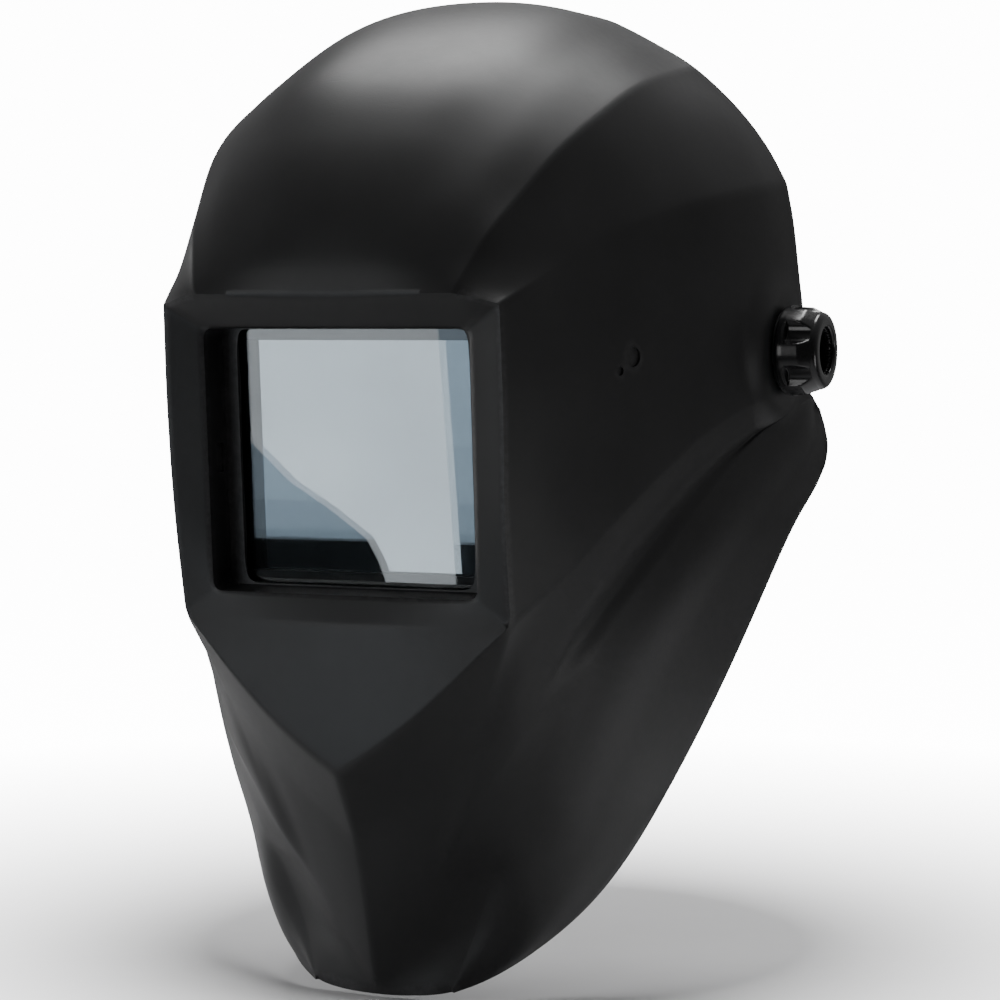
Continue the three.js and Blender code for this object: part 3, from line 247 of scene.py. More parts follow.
def box_form(low: Point, high: Point, side: Side) -> tuple[np.ndarray, list[tuple[int, ...]]]:
    """A box between two corners given for the wearer's left, on either side.

    Args:
        low: Corner with the least X, Y and Z, in millimetres.
        high: Opposite corner, in millimetres.
        side: The side that the box is put on.

    Returns:
        The points and faces.
    """
    points = [(x * side.value, y, z) for x in (low[0], high[0]) for y in (low[1], high[1])
              for z in (low[2], high[2])]
    faces = [(0, 1, 3, 2), (4, 6, 7, 5), (0, 4, 5, 1), (2, 3, 7, 6), (0, 2, 6, 4), (1, 5, 7, 3)]
    return np.array(points), faces


def hermite(t: float, start: np.ndarray, leave: np.ndarray, end: np.ndarray,
            arrive: np.ndarray) -> np.ndarray:
    """A point on the cubic curve between two points with given slopes.

    Args:
        t: Share of the way from the start to the end.
        start: First point.
        leave: Slope at the first point.
        end: Last point.
        arrive: Slope at the last point.

    Returns:
        The point.
    """
    return ((2 * t**3 - 3 * t**2 + 1) * start + (t**3 - 2 * t**2 + t) * leave
            + (3 * t**2 - 2 * t**3) * end + (t**3 - t**2) * arrive)


# ---- Finishes -----------------------------------------------------------------------------------


def shade(colour: Point, share: float, lift: float = 0.0) -> Point:
    """A colour made darker or lighter by a share, then lifted by a constant."""
    return tuple(c * share + lift for c in colour)


class NodeBench:
    """Adds and links the nodes of one material."""

    def __init__(self, name: str) -> None:
        """Start an empty node material with a Principled shader.

        Args:
            name: Name of the material.
        """
        self.material = bpy.data.materials.new(name)
        self.material.use_nodes = True
        self.tree = self.material.node_tree
        self.shader = self.tree.nodes["Principled BSDF"]
        self.place = self.tree.nodes.new("ShaderNodeTexCoord").outputs["Object"]

    def add(self, kind: str, **values: object) -> bpy.types.Node:
        """Add a node and set its properties or inputs.

        Args:
            kind: Node type name without the ShaderNode prefix.
            **values: Properties, or inputs under their names with underscores for spaces.

        Returns:
            The new node.
        """
        node = self.tree.nodes.new(f"ShaderNode{kind}")
        for key, value in values.items():
            if isinstance(value, Socket):
                self.tree.links.new(value, node.inputs[key.replace("_", " ")])
            elif key.replace("_", " ") in node.inputs:
                node.inputs[key.replace("_", " ")].default_value = value
            else:
                setattr(node, key, value)
        return node

    def noise(self, scale: float, detail: float = 3.0, rough: float = 0.5) -> Socket:
        """Noise in the piece's own coordinates; scale is cells per metre. Returns its factor."""
        node = self.add("TexNoise", Vector=self.place, Scale=scale, Detail=detail, Roughness=rough)
        return node.outputs["Fac"]

    def ramp(self, factor: Socket, low: float, high: float,
             out_low: float = 0.0, out_high: float = 1.0) -> Socket:
        """Map a factor from one range to another, clamped. Returns the result."""
        node = self.add("MapRange", Value=factor, From_Min=low, From_Max=high,
                        To_Min=out_low, To_Max=out_high)
        return node.outputs["Result"]

    def blend(self, factor: Socket, first: Sequence[float],
              second: Sequence[float] | Socket) -> Socket:
        """Mix two colours by a factor. Returns the colour."""
        node = self.tree.nodes.new("ShaderNodeMix")
        node.data_type = "RGBA"
        self.tree.links.new(factor, node.inputs[0])
        for socket, value in ((node.inputs[6], first), (node.inputs[7], second)):
            if isinstance(value, Socket):
                self.tree.links.new(value, socket)
            else:
                socket.default_value = (*value, 1.0)
        return node.outputs[2]

    def math(self, operation: str, first: Socket,
             second: Socket | float) -> Socket:
        """Combine two values with a Math node. Returns the result."""
        node = self.tree.nodes.new("ShaderNodeMath")
        node.operation = operation
        self.tree.links.new(first, node.inputs[0])
        if isinstance(second, Socket):
            self.tree.links.new(second, node.inputs[1])
        else:
            node.inputs[1].default_value = second
        return node.outputs[0]

    def relief(self, layers: Sequence[tuple[Socket, float]]) -> None:
        """Stack bump layers onto the shader's normal.

        Args:
            layers: Height factor and its depth in millimetres, coarsest first.
        """
        before = None
        for height, depth in layers:
            bump = self.add("Bump", Height=height, Distance=depth * MM, Strength=1.0)
            if before is not None:
                self.tree.links.new(before, bump.inputs["Normal"])
            before = bump.outputs["Normal"]
        if before is not None:
            self.tree.links.new(before, self.shader.inputs["Normal"])

    def set(self, **values: object) -> None:
        """Set or link the shader's inputs, named with underscores for spaces."""
        for key, value in values.items():
            socket = self.shader.inputs[key.replace("_", " ")]
            if isinstance(value, Socket):
                self.tree.links.new(value, socket)
            else:
                socket.default_value = value


@dataclass(frozen=True)
class Finish:
    """A surface finish. Each kind builds its own material once, and all its pieces share it."""

    name: str
    slot: str

    def build(self, bench: NodeBench) -> None:
        """Set up the shader; each kind of finish has its own."""
        raise NotImplementedError

    def material(self) -> bpy.types.Material:
        """Return this finish's material, made on first use."""
        found = bpy.data.materials.get(self.name)
        if found is None:
            bench = NodeBench(self.name)
            self.build(bench)
            found = bench.material
        return found

    def dress(self, piece: bpy.types.Object) -> None:
        """Give a piece this finish.

        Args:
            piece: Mesh object or CAD node to dress.
        """
        piece.data.materials.clear()
        piece.data.materials.append(self.material())


@dataclass(frozen=True)
class MouldedPlastic(Finish):
    """Injection-moulded plastic with an etched grain, faint flow marks and worn edges."""

    base: Point = (0.02, 0.02, 0.021)
    worn: Point = (0.05, 0.05, 0.052)
    roughness: tuple[float, float] = (0.38, 0.48)
    grain: float = 1500.0
    depth: float = 0.02
    scratches: float = 0.0
    coat: float = 0.0

    def build(self, bench: NodeBench) -> None:
        """Mix the base with mottling and edge wear, and set grain and flow marks as relief."""
        grain = bench.noise(self.grain, 2.0, 0.6)
        mottle = bench.noise(22.0, 4.0)
        dust = bench.noise(310.0, 5.0, 0.7)
        edge = bench.add("NewGeometry").outputs["Pointiness"]
        wear = bench.math("MULTIPLY", bench.ramp(edge, 0.53, 0.62), bench.ramp(dust, 0.35, 0.7))
        tone = bench.blend(bench.ramp(mottle, 0.3, 0.75), self.base, shade(self.base, 1.35, 0.001))
        colour = bench.blend(wear, self.base, self.worn)
        bench.tree.links.new(tone, colour.node.inputs[6])
        rough = bench.ramp(bench.math("ADD", mottle, bench.math("MULTIPLY", dust, 0.6)),
                           0.5, 1.1, *self.roughness)
        bench.set(Base_Color=colour, Roughness=rough, Specular_IOR_Level=0.5, IOR=1.5,
                  Coat_Weight=self.coat, Coat_Roughness=0.12)
        layers = [(bench.noise(14.0, 2.0), 0.25), (grain, self.depth)]
        if self.scratches:
            layers.append((self.scratch(bench), self.scratches))
        bench.relief(layers)

    def scratch(self, bench: NodeBench) -> Socket:
        """Fine handling scratches as a height. Returns the factor."""
        stretched = bench.add("Mapping", Vector=bench.place, Scale=(60.0, 900.0, 140.0),
                              Rotation=(0.3, 0.5, 0.2))
        lines = bench.add("TexNoise", Vector=stretched.outputs["Vector"], Scale=1.0, Detail=2.0)
        return bench.ramp(lines.outputs["Fac"], 0.68, 0.74, 1.0, 0.0)


@dataclass(frozen=True)
class Glass(Finish):
    """A polished pane, clear or nearly opaque, with faint wipe marks."""

    tint: Point = (0.96, 0.985, 0.98)
    clear: float = 1.0
    ior: float = 1.52
    specular: float = 0.5
    reflection: Point = (1.0, 1.0, 1.0)
    roughness: tuple[float, float] = (0.0, 0.03)

    def build(self, bench: NodeBench) -> None:
        """Set a polished shader whose roughness and tint vary with old wipe marks."""
        stretched = bench.add("Mapping", Vector=bench.place, Scale=(9.0, 20.0, 55.0),
                              Rotation=(0.0, 0.6, 0.0))
        marks = bench.add("TexNoise", Vector=stretched.outputs["Vector"], Scale=1.4, Detail=6.0)
        wipe = bench.ramp(marks.outputs["Fac"], 0.45, 0.75)
        specks = bench.ramp(bench.noise(900.0, 1.0), 0.74, 0.8)
        colour = bench.blend(wipe, self.tint, shade(self.tint, 0.97))
        rough = bench.ramp(bench.math("MAXIMUM", wipe, specks), 0.0, 1.0, *self.roughness)
        bench.set(Base_Color=colour, Roughness=rough, Transmission_Weight=self.clear, IOR=self.ior,
                  Specular_IOR_Level=self.specular, Specular_Tint=(*self.reflection, 1.0))


@dataclass(frozen=True)
class Metal(Finish):
    """Plated or turned metal with fine tool marks and dull spots."""

    base: Point = (0.62, 0.63, 0.64)
    roughness: tuple[float, float] = (0.22, 0.42)

    def build(self, bench: NodeBench) -> None:
        """Set a metallic shader with spotted roughness and fine relief."""
        spots = bench.noise(420.0, 6.0, 0.65)
        marks = bench.add("TexWave", Vector=bench.place, Scale=900.0, Distortion=3.0, Detail=2.0)
        colour = bench.blend(bench.ramp(spots, 0.4, 0.7), self.base, shade(self.base, 0.72))
        rough = bench.ramp(spots, 0.35, 0.7, *self.roughness)
        bench.set(Base_Color=colour, Metallic=1.0, Roughness=rough)
        bench.relief([(marks.outputs["Fac"], 0.006), (spots, 0.01)])


@dataclass(frozen=True)
class Rubber(Finish):
    """Soft matte rubber or fibre with a dusty bloom."""

    base: Point = (0.015, 0.015, 0.016)

    def build(self, bench: NodeBench) -> None:
        """Set a dull shader with a pale bloom and a pitted surface."""
        bloom = bench.noise(95.0, 5.0, 0.6)
        colour = bench.blend(bench.ramp(bloom, 0.4, 0.8), self.base, shade(self.base, 2.2))
        bench.set(Base_Color=colour, Roughness=bench.ramp(bloom, 0.3, 0.8, 0.75, 0.92),
                  Specular_IOR_Level=0.35)
        bench.relief([(bloom, 0.05), (bench.noise(1400.0, 2.0), 0.03)])


@dataclass(frozen=True)
class Weave(Finish):
    """Brushed knit over foam: crossed threads, soft fuzz and worn patches."""

    base: Point = (0.018, 0.019, 0.022)
    thread: float = 1.1

    def build(self, bench: NodeBench) -> None:
        """Cross two wave patterns for the threads, and give the cloth sheen and fuzz."""
        scale = 0.314 / (self.thread * MM)
        turned = bench.add("Mapping", Vector=bench.place, Rotation=(0.0, 0.0, 0.785))
        waves = [
            bench.add("TexWave", Vector=turned.outputs["Vector"], Scale=scale, Distortion=0.6,
                      Detail=1.0, bands_direction=direction).outputs["Fac"]
            for direction in ("X", "Z")
        ]
        threads = bench.math("MULTIPLY", waves[0], waves[1])
        fuzz = bench.noise(600.0, 6.0, 0.7)
        patch = bench.noise(35.0, 3.0)
        tone = bench.blend(bench.ramp(patch, 0.35, 0.7), self.base, shade(self.base, 1.7))
        colour = bench.blend(bench.ramp(threads, 0.1, 0.8), shade(self.base, 0.4), tone)
        bench.set(Base_Color=colour, Roughness=bench.ramp(fuzz, 0.3, 0.7, 0.8, 0.97),
                  Sheen_Weight=0.35, Sheen_Roughness=0.5, Specular_IOR_Level=0.25)
        bench.relief([(patch, 0.3), (threads, 0.25), (fuzz, 0.08)])


SHELL_PLASTIC = MouldedPlastic("shell_black", "shell_plastic", scratches=0.006)
KNOB_PLASTIC = MouldedPlastic("knob_gloss_black", "knob_plastic", base=(0.008, 0.008, 0.009),
                              worn=(0.03, 0.03, 0.03), roughness=(0.16, 0.28), grain=700.0,
                              depth=0.008, coat=0.5)
FRAME_PLASTIC = MouldedPlastic("frame_black", "frame_plastic", base=(0.012, 0.012, 0.013),
                               roughness=(0.5, 0.65))
BAND_PLASTIC = MouldedPlastic("band_black", "band_plastic", base=(0.022, 0.023, 0.026),
                              roughness=(0.38, 0.52), grain=1100.0, depth=0.012)
CLEAR_GLASS = Glass("clear_cover", "clear_glass")
DARK_GLASS = Glass("dark_filter", "dark_glass", tint=(0.004, 0.01, 0.009), clear=0.0, ior=1.9,
                   specular=1.0, reflection=(0.86, 0.93, 1.0))
SEAL_RUBBER = Rubber("seal_rubber", "rubber")
PLATED_STEEL = Metal("plated_steel", "steel")
TURNED_BRASS = Metal("turned_brass", "brass", base=(0.72, 0.55, 0.26), roughness=(0.2, 0.34))
PAD_CLOTH = Weave("pad_cloth", "sweat_pad")


# ---- Shell form ---------------------------------------------------------------------------------


@dataclass(frozen=True)
class FeatureLine:
    """A line of the shell's right half, from its front end to the rear rim.

    Sharpness is 1 for a crease and 0 for a smooth run, at the front and at the rear; below 0 the
    crease has died out on the way.
    """

    name: str
    sharp: tuple[float, float]
    points: tuple[Point, ...]

    def sharpness(self, share: float) -> float:
        """Sharpness at a share of the way from the front to the rear."""
        return max(0.0, self.sharp[0] + (self.sharp[1] - self.sharp[0]) * share)

    def spaced(self, count: int) -> np.ndarray:
        """Points at equal distances along a smooth curve through the line's own.

        Args:
            count: Number of steps, so one more point than this comes back.

        Returns:
            One row of X, Y, Z per point, in millimetres.
        """
        knots = np.array(self.points, float)
        ends = [2 * knots[0] - knots[1], *knots, 2 * knots[-1] - knots[-2]]
        fine = [knots[0]]
        for p0, p1, p2, p3 in zip(ends, ends[1:], ends[2:], ends[3:]):
            d0, d1, d2 = (max(np.linalg.norm(b - a) ** 0.5, 1e-4)
                          for a, b in ((p0, p1), (p1, p2), (p2, p3)))
            t1 = ((p1 - p0) / d0 - (p2 - p0) / (d0 + d1) + (p2 - p1) / d1) * d1
            t2 = ((p2 - p1) / d1 - (p3 - p1) / (d1 + d2) + (p3 - p2) / d2) * d1
            fine += [hermite(t, p1, t1, p2, t2) for t in np.linspace(0, 1, 41)[1:]]
        fine = np.array(fine)
        along = np.concatenate([[0], np.cumsum(np.linalg.norm(np.diff(fine, axis=0), axis=1))])
        at = np.linspace(0, along[-1], count + 1)
        return np.stack([np.interp(at, along, fine[:, k]) for k in range(3)], axis=1)


UPPER_LINES: tuple[FeatureLine, ...] = (
    FeatureLine("crown", (0, 0), (
        (0, -146, 17.7), (0, -144.5, 31), (0, -138, 50), (0, -126, 70), (0, -107, 90),
        (0, -73, 110), (0, -30, 121.4), (0, 22, 122.5),
    )),
    FeatureLine("dome", (0, 0), (
        (24, -146.3, 18.2), (26, -144.3, 30), (27, -136.5, 49), (29, -123, 69.5), (31, -103, 89),
        (32.5, -66, 107.3), (33, -28, 116.6), (32, 20, 118.6),
    )),
    FeatureLine("dome_side", (0, 0), (
        (38, -146.4, 18.6), (40.5, -143.5, 27), (44.5, -133, 47), (48, -113, 69),
        (49.5, -90, 85.5), (51, -58, 98.5), (51, -22, 107), (50, 17, 109.6),
    )),
    FeatureLine("dome_crease", (1, 0.9), (
        (45.3, -146.2, 18.7), (46.5, -145.2, 21.2), (49.5, -140.5, 29), (53.2, -133.8, 38.5),
        (57.9, -121.1, 49.8), (63.5, -101.9, 64.8), (67.9, -78.6, 77.3), (69.8, -47.8, 89.2),
        (68.7, 8.3, 100.2),
    )),
    FeatureLine("shoulder", (0, 0), (
        (53, -144.8, 17.3), (58, -134.4, 25.5), (63.9, -118.3, 36), (70.9, -94.5, 49),
        (78.3, -70.5, 60), (83.7, -40.5, 72), (86.2, -12, 79.5), (86.8, 12, 82),
    )),
    FeatureLine("side_crease", (1, 0.6), (
        (60, -142, 15.4), (64.5, -128.4, 21.3), (68.3, -113.2, 27.8), (74.5, -94.5, 36.2),
        (81.5, -77.4, 42.3), (88.5, -59.1, 47.7), (95.5, -39.7, 51.7), (101, -14.7, 55.6),
        (102.8, 11, 58.8),
    )),
    FeatureLine("side_upper", (0, 0), (
        (60.2, -139.5, -18), (69, -120, -8), (78.4, -96, 2), (87.6, -70, 10), (95.8, -45, 16),
        (101.5, -20, 20), (104, 0, 24), (104.6, 17, 28),
    )),
    FeatureLine("side_lower", (0, 0), (
        (59.4, -136.5, -52), (68, -119.5, -44), (77.5, -96, -31), (87, -70, -19), (95.4, -45, -9),
        (101.8, -20, -2), (104.7, 0, 3), (105.3, 23, 6),
    )),
)
VISOR_EDGE = FeatureLine("visor_edge", (1, 1), (
    (0, -136, -136), (13.6, -135.6, -127), (26, -135, -117.5), (40, -133.8, -104.6),
    (54, -131.6, -90.6), (58.8, -130.5, -86),
))
CHEEK_CREASE = FeatureLine("cheek_crease", (1, 0.7), (
    (58.8, -130.5, -86), (64.6, -120.5, -78), (72.5, -106.5, -66.2), (79.9, -90.5, -52.6),
    (86.6, -71.9, -40.3), (93.3, -52.2, -28.4), (99.6, -30.1, -19.9), (103.9, -9.4, -15.2),
    (105, 8, -12.6), (105.6, 25.5, -12),
))
LOWER_LINES: tuple[FeatureLine, ...] = (
    FeatureLine("chin_upper", (0.5, -1), (
        (0, -122.5, -160), (15, -123.5, -148), (30, -124, -134), (44, -122.5, -119),
        (56, -119, -104), (64, -111, -92.5), (71, -99.5, -80.5), (78, -84, -65), (85, -65, -50.5),
        (92, -45, -37.5), (98, -25, -28), (102.6, -2, -20.5), (105.6, 26.6, -13.6),
    )),
    FeatureLine("chin_lower", (1, -0.6), (
        (0, -106.5, -214), (13, -106, -195), (23, -110, -174), (33, -114, -158), (42, -115, -143),
        (52, -113, -128), (60, -108, -113.5), (66.5, -101, -99), (72, -92, -87), (78.5, -77, -72),
        (85.5, -58, -55.5), (92.5, -37, -40.5), (98.8, -14, -29), (103.6, 10, -20.5),
        (105.6, 27.6, -15),
    )),
    FeatureLine("lobe_crease", (0.2, 0.5), (
        (24, -103, -212.6), (31, -98.5, -193), (38.5, -101, -173), (43, -105.5, -161.6),
        (48.6, -106.3, -148.1), (56.4, -104.2, -131.6), (64.6, -99.8, -113.9),
        (71.9, -93.3, -99.6), (77.5, -83.2, -85.7), (84.5, -65.8, -68.8), (91, -45.7, -51.5),
        (97.5, -24, -35.4), (101.5, -4, -25.8), (104.6, 16.5, -19.3), (106, 29.5, -16.5),
    )),
    FeatureLine("lobe_crest", (0, 0), (
        (24, -103, -212.6), (36, -97.5, -196), (46, -98, -177), (53, -97, -158), (59, -98, -140),
        (66, -95, -122), (73, -88, -107), (80, -76, -91), (87, -59, -74.5), (93.5, -39, -57),
        (100, -16, -40), (104.2, 5, -29), (106.2, 20.5, -21.5), (106, 29.5, -16.5),
    )),
    FeatureLine("lobe", (0, 0), (
        (24, -103, -212.6), (44, -90, -200), (55, -83, -182), (63, -75, -163), (70, -68, -143),
        (77, -58, -122), (84, -45, -101), (91, -28, -81), (98, -8, -62), (103.5, 14, -45),
        (106.6, 31, -31), (106, 29.5, -16.5),
    )),
    FeatureLine("rim", (0, 0), (
        (24, -103, -212.6), (36.5, -94, -207.2), (50, -78, -197), (61.5, -62.5, -183.5),
        (70.5, -48, -166), (74, -38, -155.2), (80.5, -26, -137.4), (87, -14, -117.6),
        (92, -2, -99.3), (97.8, 11, -77.5), (101.8, 21, -62), (103.4, 28.8, -55.2),
        (105.4, 41.5, -47), (106.6, 46.5, -40), (106.8, 46.5, -33), (106.6, 37.5, -22),
        (106, 29.5, -16.5),
    )),
)


LIP_SHARES = (0.35, 0.7, 1.0)
BROW_LINES = 5


@dataclass(frozen=True)
class WindowSize:
    """The window opening and the flat plane it lies in."""

    width: float = 95.0
    height: float = 86.0
    centre: Point = (0.0, -134.4, -35.3)
    tilt: float = 4.0
    tunnel: float = 12.0
    draft: float = 0.3
    side_lip: float = 5.5
    end_lip: float = 0.9
    corner: float = 3.0
    edge_crowding: float = 0.55
    side_crowding: float = 0.11

    def points(self, local: np.ndarray) -> np.ndarray:
        """Put points of the window's own plane into the helmet's frame.

        Args:
            local: Rows of X, depth behind the opening and height above its middle, in millimetres.

        Returns:
            The same points in the helmet's frame, in millimetres.
        """
        turn = math.radians(self.tilt)
        x, y, z = np.asarray(local, float).T
        turned = np.stack([x, y * math.cos(turn) - z * math.sin(turn),
                           y * math.sin(turn) + z * math.cos(turn)], axis=1)
        return turned + np.array(self.centre)

    def loop(self, top: int, side: int, bottom: int) -> np.ndarray:
        """Half the opening's outline, top middle to bottom middle, as shares of the half sizes.

        Args:
            top: Steps along the top edge.
            side: Steps down the side.
            bottom: Steps along the bottom edge.

        Returns:
            One row of X share and height share per point, closer together near the corners.
        """
        def crowd(count: int) -> np.ndarray:
            """Shares 0 to 1 that crowd towards 1."""
            s = np.arange(count + 1) / count
            return s + self.edge_crowding * np.sin(math.pi * s) / math.pi

        s = np.arange(side + 1) / side
        down = 1 - 2 * (s - self.side_crowding * np.sin(2 * math.pi * s))
        rows = [[a, 1.0] for a in crowd(top)]
        rows += [[1.0, a] for a in down[1:]]
        rows += [[a, -1.0] for a in crowd(bottom)[::-1][1:]]
        return np.array(rows)

    def ring(self, loop: np.ndarray, half_width: float, half_height: float,
             depth: float) -> np.ndarray:
        """The outline at a depth, with rounded corners.

        Args:
            loop: Shares from `loop`.
            half_width: Half width there, in millimetres.
            half_height: Half height there, in millimetres.
            depth: Distance behind the opening, in millimetres.

        Returns:
            Points in the helmet's frame.
        """
        x, z = loop[:, 0] * half_width, loop[:, 1] * half_height
        cx, cz = half_width - self.corner, half_height - self.corner
        dx, dz = x - cx, np.abs(z) - cz
        inside = (dx > 0) & (dz > 0)
        length = np.hypot(dx, dz)
        scale = np.where(inside, self.corner / np.maximum(length, 1e-6), 1.0)
        x = np.where(inside, cx + dx * scale, x)
        z = np.where(inside, np.sign(z) * (cz + dz * scale), z)
        return self.points(np.stack([x, np.full(len(x), depth), z], axis=1))


@dataclass(frozen=True)
class ShellSize:
    """Wall, edges and fineness of the shell."""

    wall: float = 2.5
    visor_columns: int = 32
    side_columns: int = 100
    steps: int = 13
    bezel_rows: int = 11
    tunnel_rows: int = 6
    seat_distance: float = 105.0
    seat_radius: float = 18.5
    seat_blend: float = 30.0
    bolt_hole: float = 3.4
    smoothing: int = 1
    rim_smoothing: int = 36
    rim_round: float = 0.55
    sill_bow: tuple[float, float] = (3.6, 1.5)
    visor_rows: int = 24


class ShellForm:
    """The outside surface of the shell, from its feature lines."""

    def __init__(self, size: ShellSize, window: WindowSize) -> None:
        """Keep the sizes.

        Args:
            size: Wall and fineness.
            window: The opening.
        """
        self.size = size
        self.window = window
        self.points: list[np.ndarray] = []
        self.faces: Faces = []
        self.count = 0

    @staticmethod
    def across(lines: np.ndarray, sharp: Sequence[float], steps: int,
               mirrored: bool) -> np.ndarray:
        """A smooth run across the feature lines at one column, creased where a line is sharp.

        Args:
            lines: The column's point on each line.
            sharp: Sharpness of each line here.
            steps: Steps between two lines.
            mirrored: Whether the run starts on the mirror plane.

        Returns:
            Points along the run.
        """
        gaps = np.maximum(np.linalg.norm(np.diff(lines, axis=0), axis=1), 1e-6)
        slopes = np.diff(lines, axis=0) / gaps[:, None]
        shared = [np.array([1.0, 0.0, 0.0]) if mirrored else slopes[0]]
        for i in range(1, len(lines) - 1):
            a, b = gaps[i - 1], gaps[i]
            shared.append(slopes[i - 1] * b / (a + b) + slopes[i] * a / (a + b))
        shared.append(slopes[-1])
        out = [lines[0]]
        for i in range(len(lines) - 1):
            m0 = (shared[i] + (slopes[i] - shared[i]) * sharp[i]) * gaps[i]
            m1 = (shared[i + 1] + (slopes[i] - shared[i + 1]) * sharp[i + 1]) * gaps[i]
            shares = np.arange(1, steps + 1) / steps
            out += [hermite(t, lines[i], m0, lines[i + 1], m1) for t in shares]
        return np.array(out)

    def sheet(self, rows: Sequence[np.ndarray]) -> None:
        """Add a grid of quads between successive rows of points.

        Args:
            rows: Equal-length rows of points in millimetres.
        """
        self.points.extend(rows)
        self.faces.extend(grid_faces(len(rows), len(rows[0]), self.count))
        self.count += sum(len(row) for row in rows)

    def half(self) -> tuple[np.ndarray, Faces]:
        """Build the +X half. Returns its points and faces."""
        size = self.size
        every = size.visor_columns + size.side_columns
        upper = [line.spaced(size.side_columns) for line in UPPER_LINES]
        cheek = CHEEK_CREASE.spaced(size.side_columns)
        visor = VISOR_EDGE.spaced(size.visor_columns)
        lower = [line.spaced(every) for line in LOWER_LINES]
        lower_rows = []
        for k in range(size.visor_columns):
            sharp = [1.0] + [line.sharpness(k / every) for line in LOWER_LINES]
            points = np.array([visor[k]] + [line[k] for line in lower])
            lower_rows.append(self.across(points, sharp, size.steps, False))
        full_rows = []
        for j in range(size.side_columns + 1):
            share = j / size.side_columns
            points = [line[j] for line in upper] + [cheek[j]]
            points += [line[size.visor_columns + j] for line in lower]
            sharp = [line.sharpness(share) for line in (*UPPER_LINES, CHEEK_CREASE)]
            sharp += [line.sharpness((size.visor_columns + j) / every) for line in LOWER_LINES]
            full_rows.append(self.across(np.array(points), sharp, size.steps, True))
        upper_count = size.steps * len(UPPER_LINES)
        self.sheet(full_rows)
        self.sheet([*lower_rows, full_rows[0][upper_count:]])
        self.window_sheets(full_rows[0], visor, upper_count)
        return np.concatenate(self.points), self.faces

    def window_sheets(self, front: np.ndarray, visor: np.ndarray, upper_count: int) -> None:
        """Add the flat visor, the bezel, the tunnel and its lip.

        Args:
            front: The front column of the full rows, from the crown's front end down.
            visor: Points on the visor edge, from the middle.
            upper_count: Index of the cheek crease in the front column.
        """
        size, window = self.size, self.window
        share = np.arange(size.visor_columns + 1) / size.visor_columns
        bow = 1 - share**2
        x, y, z = VISOR_EDGE.points[-1]
        out, down = size.sill_bow
        edge = np.stack([x * share, y - out * bow, z - down * bow], axis=1)
        edge[-1] = visor[-1]
        self.sheet([edge + (visor - edge) * s for s in np.linspace(0, 1, size.visor_rows + 1)])
        brow = size.steps * BROW_LINES
        outer = np.concatenate([front[:upper_count + 1], edge[::-1][1:]])
        loop = window.loop(brow, upper_count - brow, size.visor_columns)
        w, h, draft = window.width / 2, window.height / 2, window.draft
        opening = window.ring(loop, w, h, 0.0)
        rings = [outer + (opening - outer) * s for s in np.linspace(0, 1, size.bezel_rows + 1)]
        for s in np.arange(1, size.tunnel_rows + 1) / size.tunnel_rows:
            rings.append(window.ring(loop, w - draft * s, h - draft * s, window.tunnel * s))
        for s in LIP_SHARES:
            across = w - draft - (window.side_lip - draft) * s
            up = h - draft - (window.end_lip - draft) * s
            rings.append(window.ring(loop, across, up, window.tunnel))
        self.sheet(rings)

    def smooth(self, mesh: bpy.types.Mesh) -> None:
        """Average each point with its neighbours; open edges only along themselves.

        Args:
            mesh: Whole surface, in metres.
        """
        points = vertex_table(mesh)
        count = len(points)
        work = bmesh.new()
        work.from_mesh(mesh)
        on_edge = np.zeros(count, bool)
        pairs, edge_pairs = [], []
        for edge in work.edges:
            pair = [v.index for v in edge.verts]
            pairs.append(pair)
            if edge.is_boundary:
                on_edge[pair] = True
                edge_pairs.append(pair)
        work.free()
        pairs, edge_pairs = np.array(pairs), np.array(edge_pairs)
        rim = (self.size.rim_smoothing, edge_pairs, on_edge)
        inside = (self.size.smoothing, pairs, ~on_edge)
        for rounds, joined, chosen in (rim, inside):
            for _ in range(rounds):
                total = np.zeros_like(points)
                joins = np.zeros(count)
                for a, b in ((0, 1), (1, 0)):
                    np.add.at(total, joined[:, a], points[joined[:, b]])
                    np.add.at(joins, joined[:, a], 1)
                mean = total / np.maximum(joins, 1)[:, None]
                points[chosen] = 0.5 * points[chosen] + 0.5 * mean[chosen]
        mesh.vertices.foreach_set("co", points.ravel())

    def seat(self, mesh: bpy.types.Mesh) -> None:
        """Flatten the side walls under the knobs and ease them into the surface around.

        Args:
            mesh: Whole surface, in metres.
        """
        size = self.size
        for vertex in mesh.vertices:
            x, y, z = vertex.co / MM
            away = math.hypot(y, z)
            if away < size.seat_blend and abs(x) > 80:
                t = max(0.0, (away - size.seat_radius) / (size.seat_blend - size.seat_radius))
                ease = t * t * (3 - 2 * t)
                flat = math.copysign(size.seat_distance, x)
                vertex.co.x = (flat + (x - flat) * ease) * MM

    def build(self, name: str) -> bpy.types.Object:
        """Make the surface as an open mesh with its normals outwards.

        Args:
            name: Name of the piece.

        Returns:
            The linked object.
        """
        points, faces = self.half()
        mirrored = points * np.array([-1.0, 1.0, 1.0])
        offset = len(points)
        both = faces + [[i + offset for i in reversed(face)] for face in faces]
        piece = add_piece(name, np.concatenate([points, mirrored]), both)
        tidy_mesh(piece, 0.05)
        self.smooth(piece.data)
        self.seat(piece.data)
        top = max(piece.data.polygons, key=lambda face: face.center.z)
        if top.normal.z < 0:
            piece.data.flip_normals()
        return piece


CUTTER_TURNS = 48


